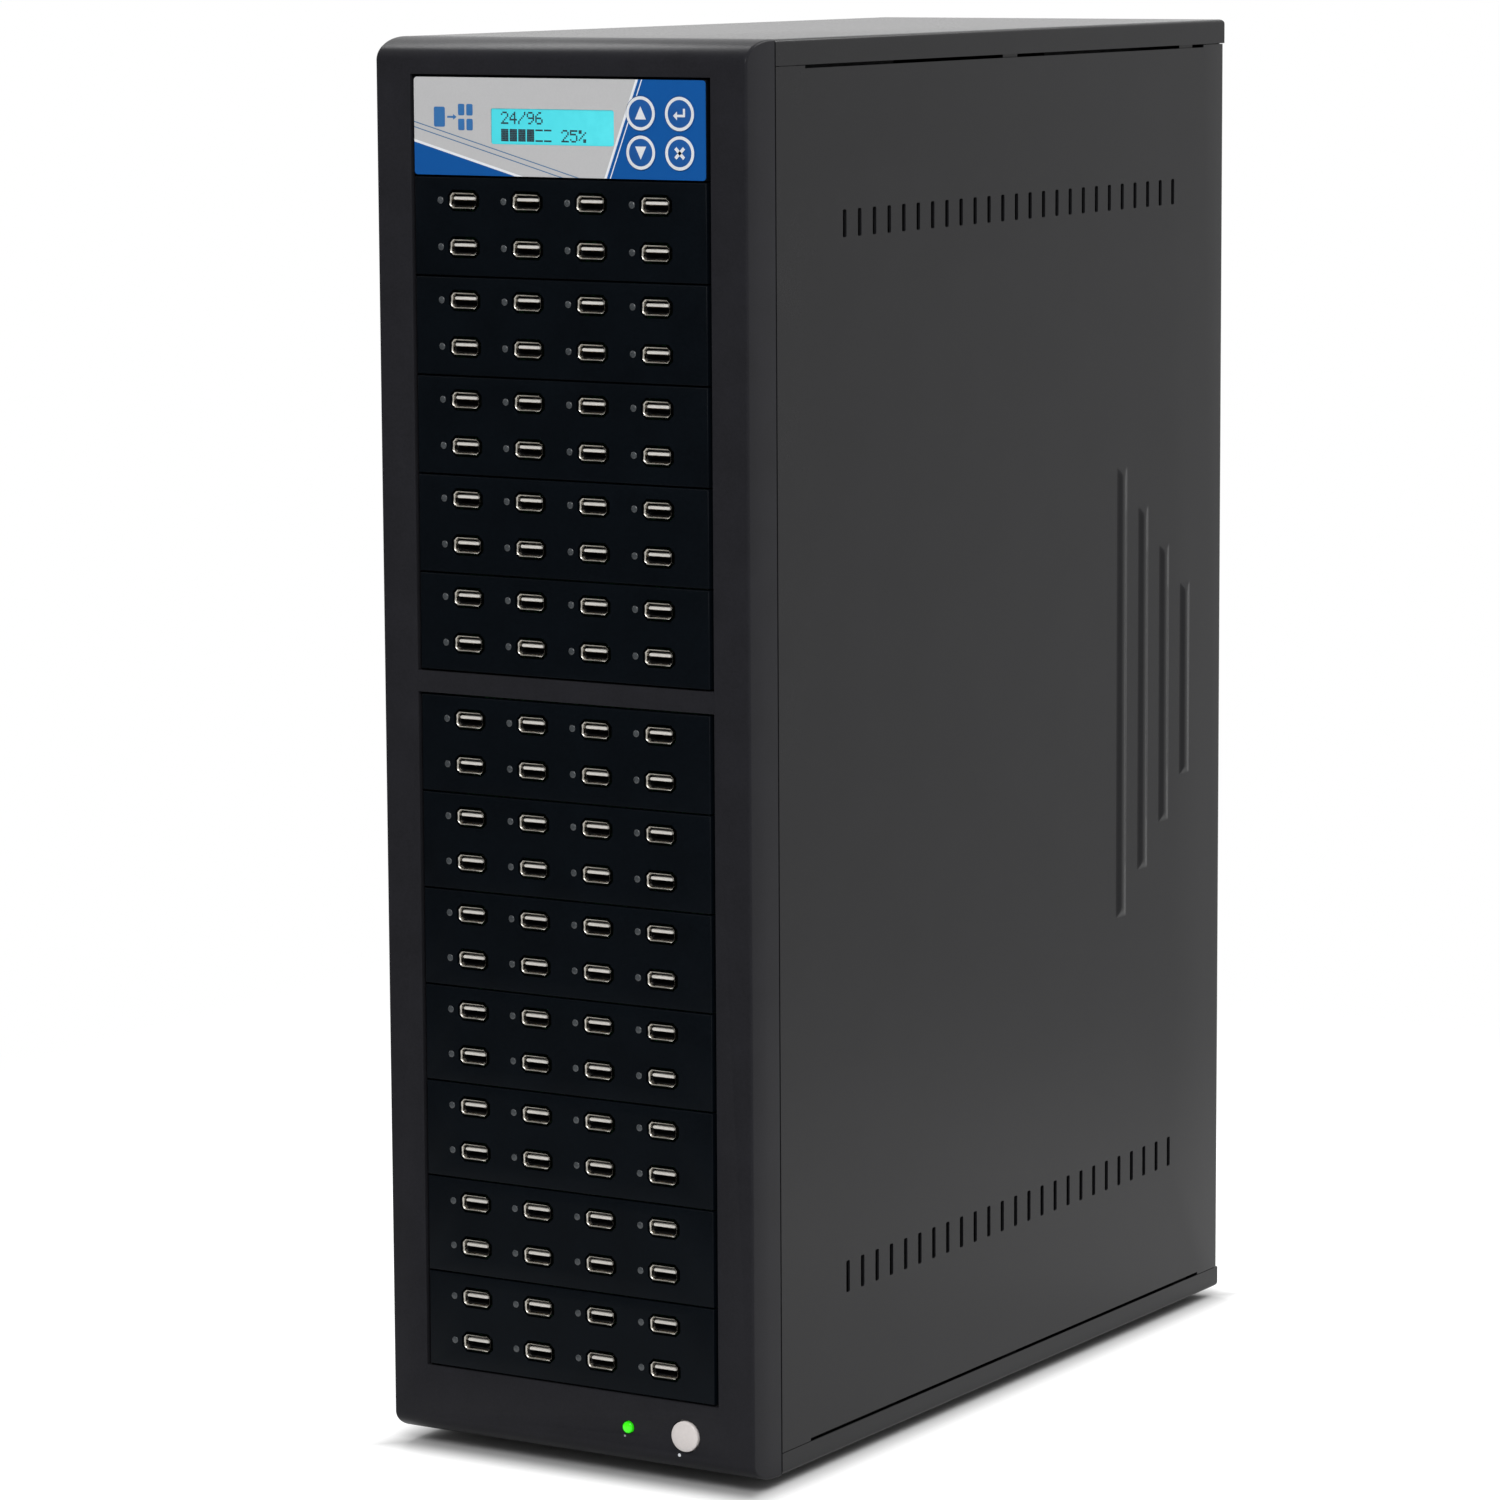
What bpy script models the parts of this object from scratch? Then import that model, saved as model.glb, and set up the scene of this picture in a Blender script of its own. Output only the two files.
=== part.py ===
"""A tower that copies USB flash drives: thirteen bays behind a moulded bezel, in a painted steel case.

Metres, +Z up, the front faces -Y. The origin lies under the middle of the tower, on the surface that its
feet stand on. All pieces hang on one empty, whose own origin is where the bezel's face meets the underside
of the case, so every size below is counted back (y) and up (z) from there, and sideways from the middle.
"""

import math

import bmesh
import bpy
from mathutils import Matrix, Vector

# Fits and cuts
SEAT_GAP = 0.0003
CUT_OVERRUN = 0.002
WELD_DEPTH = 0.0004
SHEET = 0.001

# Bays and the tower around them
BAY_PITCH = 0.042
UPPER_BAYS = 6
LOWER_BAYS = 7
BAY_OPENING_WIDTH = 0.149
BANK_MARGIN = 0.0005
SIDE_MARGIN = 0.0175
BOTTOM_STRIP = 0.0324
CROSS_BAR = 0.0093
TOP_STRIP = 0.0153
TOWER_DEPTH = 0.426

UPPER_OPENING = UPPER_BAYS * BAY_PITCH + 2 * BANK_MARGIN
LOWER_OPENING = LOWER_BAYS * BAY_PITCH + 2 * BANK_MARGIN
TOWER_WIDTH = BAY_OPENING_WIDTH + 2 * SIDE_MARGIN
TOWER_HEIGHT = BOTTOM_STRIP + LOWER_OPENING + CROSS_BAR + UPPER_OPENING + TOP_STRIP

# Front bezel
BEZEL_DEPTH = 0.0223
BEZEL_FACE = 0.003
BEZEL_WALL = 0.0025
BEZEL_ROLL_DEPTH = 0.02
BEZEL_ROLL_HEIGHT = 0.0095
BEZEL_EDGE_ROUND = 0.001
ROLL_STEPS = 6
INNER_ROLL_STEPS = 4

# Bay modules: a faceplate with cheeks and a back, open above and below
PANEL_GAP = 0.0007
PANEL_SIDE_GAP = 0.0019
PANEL_FACE = 0.0024
PANEL_CHEEK = 0.0015
PANEL_BACK = 0.0012
PANEL_CHAMFER = 0.0005
BOARD_THICKNESS = 0.0016
BOARD_EDGE = 0.0015

PANEL_WIDTH = BAY_OPENING_WIDTH - 2 * PANEL_SIDE_GAP
PANEL_HEIGHT = BAY_PITCH - PANEL_GAP

# Sockets and their lamps, counted from a faceplate's middle and lower edge
SOCKET_COLUMNS = 4
SOCKET_ROWS = 2
SOCKET_COLUMN_PITCH = 0.0319
SOCKET_ROW_PITCH = 0.0196
SOCKET_FIRST_ROW = 0.01195
SOCKET_LENGTH = 0.0151
SOCKET_PROUD = 0.0003
SOCKET_MOUTH = (0.0139, 0.0069)
SOCKET_BODY = (0.0131, 0.0059)
SOCKET_CAVITY = (0.0122, 0.0051)
SOCKET_LIP = 0.00045
SOCKET_DEPTH = 0.011
LAMP_OFFSET = 0.0117
LAMP_RADIUS = 0.0017
LAMP_PROUD = 0.0004
LAMP_SIDES = 6

BOARD_FRONT = SOCKET_LENGTH - SOCKET_PROUD
MODULE_DEPTH = BOARD_FRONT + BOARD_THICKNESS + SEAT_GAP + PANEL_BACK

# Control panel: window and keys, counted from the faceplate's middle and lower edge
WINDOW_SIZE = (0.062, 0.0157)
WINDOW_CENTRE = (-0.00285, 0.0209)
DISPLAY_SETBACK = 0.0004
DISPLAY_FRAME = (0.072, 0.025)
DISPLAY_FRAME_DEPTH = 0.006
DISPLAY_BOARD = (0.074, 0.032)
KEY_RADIUS = 0.0073
KEY_PROUD = 0.0003
KEY_EDGE = 0.0003
KEY_CAP_DEPTH = 0.0034
KEY_STEM_RADIUS = 0.002
KEY_STEM_END = 0.007
KEY_TRAVEL = 0.0006
KEY_STEPS = 16
KEY_COLUMNS = (0.041, 0.06)
KEY_ROWS = (0.0112, 0.0273)
KEY_NAMES = (("key_down", "key_up"), ("key_escape", "key_enter"))
KEY_SWITCH = 0.006
CHIP_SIZE = (0.02, 0.02)
CHIP_HEIGHT = 0.0018
CHIP_CENTRE = (-0.058, 0.0205)

# Power button, its lamp and the small board behind them, counted from the tower's middle and underside
BUTTON_CENTRE = (0.058, 0.0179)
BUTTON_RADIUS = 0.0066
BUTTON_CLEARANCE = 0.0005
BUTTON_PROUD = 0.0018
BUTTON_RIM_PROUD = 0.0005
BUTTON_FLANGE = 0.0012
BUTTON_FLANGE_DEPTH = 0.0012
BUTTON_STEM_RADIUS = 0.0025
BUTTON_STEM_END = 0.009
BUTTON_TRAVEL = 0.002
BUTTON_STEPS = 24
BUTTON_DOME_STEPS = 3
BUTTON_DOME_TURN = math.radians(65)
BUTTON_CROWN_RADIUS = 0.0012
POWER_LAMP_CENTRE = (0.0292, 0.0181)
POWER_LAMP_RADIUS = 0.0025
POWER_LAMP_PROUD = 0.0012
POWER_LAMP_STEPS = 16
SWITCH_BOARD_FRONT = 0.0145
SWITCH_BOARD_HEIGHT = 0.014
SWITCH_BOARD_MARGIN = 0.0135
SWITCH_BODY = 0.008
SWITCH_POST = 0.004

# Steel case
CASE_JOINT = 0.0009
TOP_LIP = 0.011
BASE_LIP = 0.0096
FOLD_ROUND = 0.002
FOLD_STEPS = 2
RAIL_SETBACK = 0.006
RAIL_DEPTH = 0.15
SIDE_SLIT = 0.0012
SLIT_START = 0.0465
SLIT_END_MARGIN = 0.02
SIDE_INSET = 0.0012
REAR_FLANGE = 0.0155
HOOK_LENGTH = 0.013
HOOK_ROOT = 0.005
HOOK_DROP = 0.003
HOOK_REACH = 0.005
HOOK_CLEARANCE = 0.001
HOOK_END_INSETS = (0.0125, 0.034)

CASE_FRONT = BEZEL_DEPTH + CASE_JOINT
FRAME_FRONT = BEZEL_DEPTH + SEAT_GAP
SIDE_REAR = TOWER_DEPTH - SIDE_INSET
REAR_PANEL_FRONT = SIDE_REAR - SHEET - SEAT_GAP - SHEET
REAR_SEAT = REAR_PANEL_FRONT - SEAT_GAP

# Vents and ribs of a side panel, counted from the bezel's face and the underside
VENT_COUNT = 25
VENT_PITCH = 0.01235
VENT_WIDTH = 0.003
VENT_FIRST = 0.0781
TOP_VENT_HEIGHT = 0.0117
TOP_VENT_DROP = 0.0779
BOTTOM_VENT_HEIGHT = 0.0139
BOTTOM_VENT_RISE = 0.0755
RIB_COUNT = 4
RIB_PITCH = 0.0208
RIB_LAST_MARGIN = 0.0375
RIB_LONGEST = 0.209
RIB_STEP = 0.0393
RIB_WIDTH = 0.01
RIB_CREST = 0.003
RIB_RELIEF = 0.001
RIB_CENTRE = 0.2992
RIB_SHARP_ANGLE = math.radians(10)

# Thumbscrews
THUMBSCREW_RADIUS = 0.005
THUMBSCREW_HEAD = 0.006
THUMBSCREW_EDGE = 0.0006
THUMBSCREW_SHANK_RADIUS = 0.0016
THUMBSCREW_SHANK = 0.007
THUMBSCREW_INSET = 0.0098
THUMBSCREW_STEPS = 12
THUMBSCREW_PLACE_SHARES = (0.2, 0.8)

# Feet
FOOT_HEIGHT = 0.005
FOOT_RADIUS = 0.0095
FOOT_TAPER = 0.001
FOOT_STEPS = 16
FOOT_SIDE_INSET = 0.024
FOOT_END_INSET = 0.04

# Power supply, against the rear panel and under the top cover
SUPPLY_SIZE = (0.15, 0.14, 0.086)
SUPPLY_RIM = (0.006, 0.005)
SUPPLY_LEAD_HOLE = (0.06, 0.03)
SUPPLY_FAN_MARGIN = 0.0045
INLET_INSET = 0.0225
INLET_FLANGE = (0.032, 0.058)
INLET_FLANGE_DEPTH = 0.0025
INLET_RIM = 0.0025
INLET_BODY_DEPTH = 0.018
INLET_CAVITY = (0.0244, 0.0166)
INLET_CAVITY_DEPTH = 0.0155
INLET_CAVITY_RISE = 0.0045
INLET_CORNER = 0.004
PIN_SIZE = (0.002, 0.0045)
PIN_LENGTH = 0.0102
PIN_SPREAD = 0.007
PIN_OFFSET = 0.002
ROCKER_SIZE = (0.0108, 0.0154)
ROCKER_WELL_MARGIN = 0.0009
ROCKER_DROP = 0.0045
ROCKER_WELL_DEPTH = 0.0085
ROCKER_PIVOT_DEPTH = 0.003
ROCKER_CREST = 0.0042
ROCKER_END = 0.0028
ROCKER_BELLY = 0.003
ROCKER_TILT = math.radians(7)

# Fans
FAN_SIZE = 0.08
FAN_DEPTH = 0.025
FAN_BORE_RADIUS = 0.038
FAN_CORNER = 0.005
FAN_STEPS = 24
FAN_HUB_RADIUS = 0.016
FAN_HUB_STEPS = 14
FAN_STRUT = 0.003
FAN_STRUT_DEPTH = 0.003
FAN_FRONT_GAP = 0.001
FAN_BLADES = 7
FAN_BLADE_GAP = 0.0015
FAN_BLADE_THICKNESS = 0.0014
FAN_BLADE_CHORD = 0.018
FAN_BLADE_PITCH = math.radians(40)
GRILLE_SLOTS = 9
GRILLE_SLOT_SHARE = 0.62
CASE_FAN_HEIGHT = 0.4

SUPPLY_FAN_X = SHEET + SUPPLY_FAN_MARGIN + FAN_SIZE / 2 - SUPPLY_SIZE[0] / 2
INLET_X = SUPPLY_SIZE[0] / 2 - INLET_INSET

OVERALL_REAR = SIDE_REAR + SEAT_GAP + THUMBSCREW_HEAD
FACE_Y = (BUTTON_PROUD - OVERALL_REAR) / 2

SMOOTH_ANGLE = math.radians(35)


def clear_scene():
    for item in list(bpy.data.objects):
        bpy.data.objects.remove(item, do_unlink=True)


def material(name, colour, roughness, metallic=0.0):
    """A Principled BSDF from an sRGB hex colour."""
    shade = bpy.data.materials.new(name)
    shade.use_nodes = True
    linear = []
    for i in (0, 2, 4):
        value = int(colour[i : i + 2], 16) / 255
        linear.append(value / 12.92 if value <= 0.04045 else ((value + 0.055) / 1.055) ** 2.4)
    surface = shade.node_tree.nodes["Principled BSDF"]
    surface.inputs["Base Color"].default_value = (*linear, 1.0)
    surface.inputs["Roughness"].default_value = roughness
    surface.inputs["Metallic"].default_value = metallic
    shade.diffuse_color = (*linear, 1.0)
    return shade


def box(low, high):
    """The rings of a box between two corners."""
    (x0, y0, z0), (x1, y1, z1) = low, high
    return [[(x0, y, z0), (x1, y, z0), (x1, y, z1), (x0, y, z1)] for y in (y0, y1)]


def rectangle(size, y, centre=(0, 0)):
    """A ring that faces along Y, with its width along X and its height along Z."""
    half_x = size[0] / 2
    half_z = size[1] / 2
    corners = ((-half_x, -half_z), (half_x, -half_z), (half_x, half_z), (-half_x, half_z))
    return [(centre[0] + x, y, centre[1] + z) for x, z in corners]


def circle(radius, y, steps, centre=(0, 0)):
    """A round ring that faces along Y."""
    turns = (2 * math.pi * (i + 0.5) / steps for i in range(steps))
    return [(centre[0] + radius * math.cos(t), y, centre[1] + radius * math.sin(t)) for t in turns]


def turned(profile, steps, centre=(0, 0)):
    """The rings of a shape turned about Y, from pairs of radius and y."""
    return [circle(radius, y, steps, centre) for radius, y in profile]


def along_x(outline, start, end):
    """The rings of an outline of (y, z) points, drawn out along X."""
    return [[(x, y, z) for y, z in outline] for x in (start, end)]


def along_y(outline, start, end):
    """The rings of an outline of (x, z) points, drawn out along Y."""
    return [[(x, y, z) for x, z in outline] for y in (start, end)]


def make(name, *forms):
    """One object from lofted forms: each is a list of rings with as many points, closed at both ends."""
    shape = bmesh.new()
    for rings in forms:
        loops = [[shape.verts.new(point) for point in ring] for ring in rings]
        for near, far in zip(loops, loops[1:]):
            for i, corner in enumerate(near):
                j = (i + 1) % len(near)
                shape.faces.new((corner, near[j], far[j], far[i]))
        shape.faces.new(loops[0][::-1])
        shape.faces.new(loops[-1])
    bmesh.ops.recalc_face_normals(shape, faces=shape.faces)
    mesh = bpy.data.meshes.new(name)
    shape.to_mesh(mesh)
    shape.free()
    piece = bpy.data.objects.new(name, mesh)
    bpy.context.collection.objects.link(piece)
    return piece


def combine(piece, operation, forms):
    """Cuts forms from a piece or welds them to it, with an exact Boolean that is applied at once."""
    tool = make(piece.name + "_tool", *forms)
    boolean = piece.modifiers.new(operation, "BOOLEAN")
    boolean.operation = operation
    boolean.solver = "EXACT"
    boolean.object = tool
    graph = bpy.context.evaluated_depsgraph_get()
    result = bpy.data.meshes.new_from_object(piece.evaluated_get(graph))
    piece.modifiers.clear()
    piece.data = result
    bpy.data.objects.remove(tool, do_unlink=True)
    return piece


def cut(piece, *forms):
    return combine(piece, "DIFFERENCE", forms)


def weld(piece, *forms):
    return combine(piece, "UNION", forms)


def round_edges(piece, width, steps, chosen):
    """Bevels the edges whose two ends pass the test."""
    shape = bmesh.new()
    shape.from_mesh(piece.data)
    edges = [edge for edge in shape.edges if chosen(edge.verts[0].co, edge.verts[1].co)]
    bmesh.ops.bevel(shape, geom=edges, offset=width, segments=steps, profile=0.5, affect="EDGES")
    shape.to_mesh(piece.data)
    shape.free()
    return piece


def both_near(axis, value):
    """A test for edges that lie in one plane across an axis."""
    return lambda a, b: max(abs(a[axis] - value), abs(b[axis] - value)) < SEAT_GAP


def finish(piece, name, shade, root, pivot=(0, 0, 0), smooth=SMOOTH_ANGLE):
    """Names a piece, moves its origin to pivot and hangs it on the root."""
    pivot = Vector(pivot)
    piece.name = name
    piece.data.name = name
    piece.data.transform(Matrix.Translation(-pivot))
    piece.data.materials.clear()
    piece.data.materials.append(shade)
    piece.data.shade_smooth()
    piece.data.set_sharp_from_angle(angle=smooth)
    piece.parent = root
    piece.location = pivot
    return piece


def repeat(name, source, root, place):
    """Another piece with the same mesh as source."""
    copy = bpy.data.objects.new(name, source.data)
    bpy.context.collection.objects.link(copy)
    copy.parent = root
    copy.location = place
    return copy


def mirrored(piece):
    """The same piece for the other side of the tower."""
    shape = bmesh.new()
    shape.from_mesh(piece.data)
    shape.transform(Matrix.Scale(-1, 4, Vector((1, 0, 0))))
    bmesh.ops.reverse_faces(shape, faces=shape.faces)
    mesh = bpy.data.meshes.new(piece.name)
    shape.to_mesh(mesh)
    shape.free()
    twin = bpy.data.objects.new(piece.name, mesh)
    bpy.context.collection.objects.link(twin)
    return twin


def bay_floor(bay):
    """The height of a bay's lower edge; bay 0 is the lowest."""
    floor = BOTTOM_STRIP + BANK_MARGIN + bay * BAY_PITCH
    if bay >= LOWER_BAYS:
        floor += CROSS_BAR + 2 * BANK_MARGIN
    return floor


def panel_place(bay):
    return Vector((0, 0, bay_floor(bay) + PANEL_GAP / 2))


def socket_places():
    """The centres of a faceplate's sockets, from its middle and lower edge."""
    for row in range(SOCKET_ROWS):
        for column in range(SOCKET_COLUMNS):
            x = (column - (SOCKET_COLUMNS - 1) / 2) * SOCKET_COLUMN_PITCH
            yield x, SOCKET_FIRST_ROW + row * SOCKET_ROW_PITCH


def grown(size, margin):
    return size[0] + 2 * margin, size[1] + 2 * margin


def roll_outline(face, edge, rear, steps):
    """The bezel's outline from the side, at insets from its face and from its top and bottom."""
    lower = [(rear, edge)]
    for i in range(steps + 1):
        turn = math.pi / 2 * i / steps
        y = BEZEL_ROLL_DEPTH - (BEZEL_ROLL_DEPTH - face) * math.sin(turn)
        z = BEZEL_ROLL_HEIGHT - (BEZEL_ROLL_HEIGHT - edge) * math.cos(turn)
        lower.append((y, z))
    upper = [(y, TOWER_HEIGHT - z) for y, z in reversed(lower)]
    return lower + upper


def front_bezel(shade, root):
    half = TOWER_WIDTH / 2
    inner_half = half - BEZEL_WALL
    outer = roll_outline(0, 0, BEZEL_DEPTH, ROLL_STEPS)
    inner = roll_outline(BEZEL_FACE, BEZEL_WALL, BEZEL_DEPTH + CUT_OVERRUN, INNER_ROLL_STEPS)
    piece = make("front_bezel", along_x(outer, -half, half))
    rear = both_near(1, BEZEL_DEPTH)
    for side in (-half, half):
        end = both_near(0, side)
        round_edges(piece, BEZEL_EDGE_ROUND, 1, lambda a, b: end(a, b) and not rear(a, b))
    cut(piece, along_x(inner, -inner_half, inner_half))
    low = BOTTOM_STRIP
    middle = low + LOWER_OPENING
    through = BEZEL_FACE + CUT_OVERRUN
    lower = rectangle((BAY_OPENING_WIDTH, LOWER_OPENING), 0, (0, low + LOWER_OPENING / 2))
    upper = rectangle((BAY_OPENING_WIDTH, UPPER_OPENING), 0, (0, middle + CROSS_BAR + UPPER_OPENING / 2))
    holes = [along_y([(x, z) for x, y, z in ring], -CUT_OVERRUN, through) for ring in (lower, upper)]
    button_hole = BUTTON_RADIUS + BUTTON_CLEARANCE
    holes.append(turned(((button_hole, -CUT_OVERRUN), (button_hole, through)), BUTTON_STEPS, BUTTON_CENTRE))
    lamp_hole = POWER_LAMP_RADIUS + SEAT_GAP
    lamp_profile = ((lamp_hole, -CUT_OVERRUN), (lamp_hole, through))
    holes.append(turned(lamp_profile, POWER_LAMP_STEPS, POWER_LAMP_CENTRE))
    cut(piece, *holes)
    return finish(piece, "front_bezel", shade, root)


def module_frame(name):
    """A bay's faceplate with two cheeks and a back, open above and below."""
    half = PANEL_WIDTH / 2
    piece = make(name, box((-half, 0, 0), (half, MODULE_DEPTH, PANEL_HEIGHT)))
    round_edges(piece, PANEL_CHAMFER, 1, both_near(1, 0))
    inner = half - PANEL_CHEEK
    low = (-inner, PANEL_FACE, -CUT_OVERRUN)
    high = (inner, MODULE_DEPTH - PANEL_BACK, PANEL_HEIGHT + CUT_OVERRUN)
    return cut(piece, box(low, high))


def port_panel():
    """A faceplate with eight socket holes, and a lamp lens beside each."""
    piece = module_frame("port_panel")
    hole = grown(SOCKET_MOUTH, SEAT_GAP)
    through = PANEL_FACE + CUT_OVERRUN
    places = list(socket_places())
    cut(piece, *[[rectangle(hole, y, place) for y in (-CUT_OVERRUN, through)] for place in places])
    lens = ((LAMP_RADIUS, -LAMP_PROUD), (LAMP_RADIUS, PANEL_FACE / 2))
    return weld(piece, *[turned(lens, LAMP_SIDES, (x - LAMP_OFFSET, z)) for x, z in places])


def module_board(name):
    """A circuit board that stands in a module's frame, against its back."""
    half = PANEL_WIDTH / 2 - PANEL_CHEEK - SEAT_GAP
    low = (-half, BOARD_FRONT, BOARD_EDGE)
    high = (half, BOARD_FRONT + BOARD_THICKNESS, PANEL_HEIGHT - BOARD_EDGE)
    return make(name, box(low, high))


def socket_shell(centre):
    """A socket's shell: it widens to the mouth, and its cavity is closed at the back."""
    inner_mouth = grown(SOCKET_MOUTH, -SOCKET_LIP)
    return [
        rectangle(SOCKET_BODY, BOARD_FRONT + WELD_DEPTH, centre),
        rectangle(SOCKET_MOUTH, -SOCKET_PROUD, centre),
        rectangle(inner_mouth, -SOCKET_PROUD, centre),
        rectangle(SOCKET_CAVITY, SOCKET_DEPTH - SOCKET_PROUD, centre),
    ]


def port_board():
    return weld(module_board("port_board"), *[socket_shell(place) for place in socket_places()])


def port_modules(panel_shade, board_shade, root):
    """Twelve faceplates and twelve boards; the bay at the top is the control panel's."""
    panel = None
    board = None
    for bay in range(LOWER_BAYS + UPPER_BAYS - 1):
        number = f"{bay + 1:02d}"
        place = panel_place(bay)
        if panel is None:
            panel = finish(port_panel(), "port_panel_" + number, panel_shade, root)
            board = finish(port_board(), "port_board_" + number, board_shade, root)
            panel.location = place
            board.location = place
        else:
            repeat("port_panel_" + number, panel, root, place)
            repeat("port_board_" + number, board, root, place)


def control_bay():
    return panel_place(LOWER_BAYS + UPPER_BAYS - 1)


def key_places():
    for column, x in enumerate(KEY_COLUMNS):
        for row, z in enumerate(KEY_ROWS):
            yield KEY_NAMES[column][row], (x, z)


def control_panel(shade, root):
    piece = module_frame("control_panel")
    through = PANEL_FACE + CUT_OVERRUN
    hole = KEY_RADIUS + SEAT_GAP
    holes = [turned(((hole, -CUT_OVERRUN), (hole, through)), KEY_STEPS, place) for _, place in key_places()]
    holes.append([rectangle(WINDOW_SIZE, y, WINDOW_CENTRE) for y in (-CUT_OVERRUN, through)])
    cut(piece, *holes)
    finish(piece, "control_panel", shade, root)
    piece.location = control_bay()


def display_module(shade, root):
    """The display's glass fills the window; its metal frame and its board lie behind the faceplate."""
    glass = grown(WINDOW_SIZE, -SEAT_GAP)
    frame_front = PANEL_FACE + SEAT_GAP
    frame_back = frame_front + DISPLAY_FRAME_DEPTH
    board_back = frame_back + BOARD_THICKNESS
    frame_depths = (frame_front, frame_back)
    piece = make("display_module", [rectangle(DISPLAY_FRAME, y, WINDOW_CENTRE) for y in frame_depths])
    glass_depths = (DISPLAY_SETBACK, frame_front + WELD_DEPTH)
    weld(piece, [rectangle(glass, y, WINDOW_CENTRE) for y in glass_depths])
    board_depths = (frame_back - WELD_DEPTH, board_back)
    weld(piece, [rectangle(DISPLAY_BOARD, y, WINDOW_CENTRE) for y in board_depths])
    finish(piece, "display_module", shade, root)
    piece.location = control_bay()


def keys(shade, root):
    """Four round caps, each on a stem that ends a travel short of its switch."""
    profile = (
        (KEY_RADIUS - KEY_EDGE, -KEY_PROUD),
        (KEY_RADIUS, KEY_EDGE - KEY_PROUD),
        (KEY_RADIUS, KEY_CAP_DEPTH),
        (KEY_STEM_RADIUS, KEY_CAP_DEPTH),
        (KEY_STEM_RADIUS, KEY_STEM_END),
    )
    first = None
    for name, (x, z) in key_places():
        place = control_bay() + Vector((x, 0, z))
        if first is None:
            first = finish(make("key", turned(profile, KEY_STEPS)), name, shade, root)
            first.location = place
        else:
            repeat(name, first, root, place)


def control_board(shade, root):
    piece = module_board("control_board")
    back = BOARD_FRONT + WELD_DEPTH
    switch_front = KEY_STEM_END + KEY_TRAVEL + SEAT_GAP
    size = (KEY_SWITCH, KEY_SWITCH)
    parts = [[rectangle(size, y, place) for y in (switch_front, back)] for _, place in key_places()]
    parts.append([rectangle(CHIP_SIZE, y, CHIP_CENTRE) for y in (BOARD_FRONT - CHIP_HEIGHT, back)])
    weld(piece, *parts)
    finish(piece, "control_board", shade, root)
    piece.location = control_bay()


def power_button(shade, root):
    """A domed cap, kept in by a flange behind the bezel's face."""
    profile = [(BUTTON_CROWN_RADIUS, -BUTTON_PROUD)]
    for i in range(BUTTON_DOME_STEPS, -1, -1):
        turn = BUTTON_DOME_TURN * i / BUTTON_DOME_STEPS
        rise = (BUTTON_PROUD - BUTTON_RIM_PROUD) * math.sin(turn)
        profile.append((BUTTON_RADIUS * math.cos(turn), -BUTTON_RIM_PROUD - rise))
    flange_front = BEZEL_FACE + SEAT_GAP
    flange_back = flange_front + BUTTON_FLANGE_DEPTH
    flange_radius = BUTTON_RADIUS + BUTTON_CLEARANCE + BUTTON_FLANGE
    profile += [(BUTTON_RADIUS, flange_front), (flange_radius, flange_front)]
    profile += [(flange_radius, flange_back), (BUTTON_STEM_RADIUS, flange_back)]
    profile += [(BUTTON_STEM_RADIUS, BUTTON_STEM_END)]
    piece = finish(make("power_button", turned(profile, BUTTON_STEPS)), "power_button", shade, root)
    piece.location = (BUTTON_CENTRE[0], 0, BUTTON_CENTRE[1])


def power_lamp(shade, root):
    """A round lens with a domed tip, which ends at the switch board."""
    tip = POWER_LAMP_RADIUS / 2
    profile = (
        (tip, -POWER_LAMP_PROUD),
        (POWER_LAMP_RADIUS, -SEAT_GAP),
        (POWER_LAMP_RADIUS, SWITCH_BOARD_FRONT - SEAT_GAP),
    )
    lamp = make("power_lamp", turned(profile, POWER_LAMP_STEPS))
    piece = finish(lamp, "power_lamp", shade, root)
    piece.location = (POWER_LAMP_CENTRE[0], 0, POWER_LAMP_CENTRE[1])


def switch_board(shade, root):
    """The board behind the button and the lamp, on two posts that reach the bezel's face."""
    left = POWER_LAMP_CENTRE[0] - SWITCH_BOARD_MARGIN
    right = BUTTON_CENTRE[0] + SWITCH_BOARD_MARGIN
    middle = BUTTON_CENTRE[1]
    half = SWITCH_BOARD_HEIGHT / 2
    back = SWITCH_BOARD_FRONT + BOARD_THICKNESS
    low = (left, SWITCH_BOARD_FRONT, middle - half)
    piece = make("switch_board", box(low, (right, back, middle + half)))
    weld_back = SWITCH_BOARD_FRONT + WELD_DEPTH
    switch_front = BUTTON_STEM_END + BUTTON_TRAVEL + SEAT_GAP
    body = (SWITCH_BODY, SWITCH_BODY)
    parts = [[rectangle(body, y, BUTTON_CENTRE) for y in (switch_front, weld_back)]]
    post_front = BEZEL_FACE + SEAT_GAP
    for x in (left + SWITCH_POST, right - SWITCH_POST / 2):
        post = (SWITCH_POST, SWITCH_POST)
        parts.append([rectangle(post, y, (x, middle)) for y in (post_front, weld_back)])
    weld(piece, *parts)
    finish(piece, "switch_board", shade, root)


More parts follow.
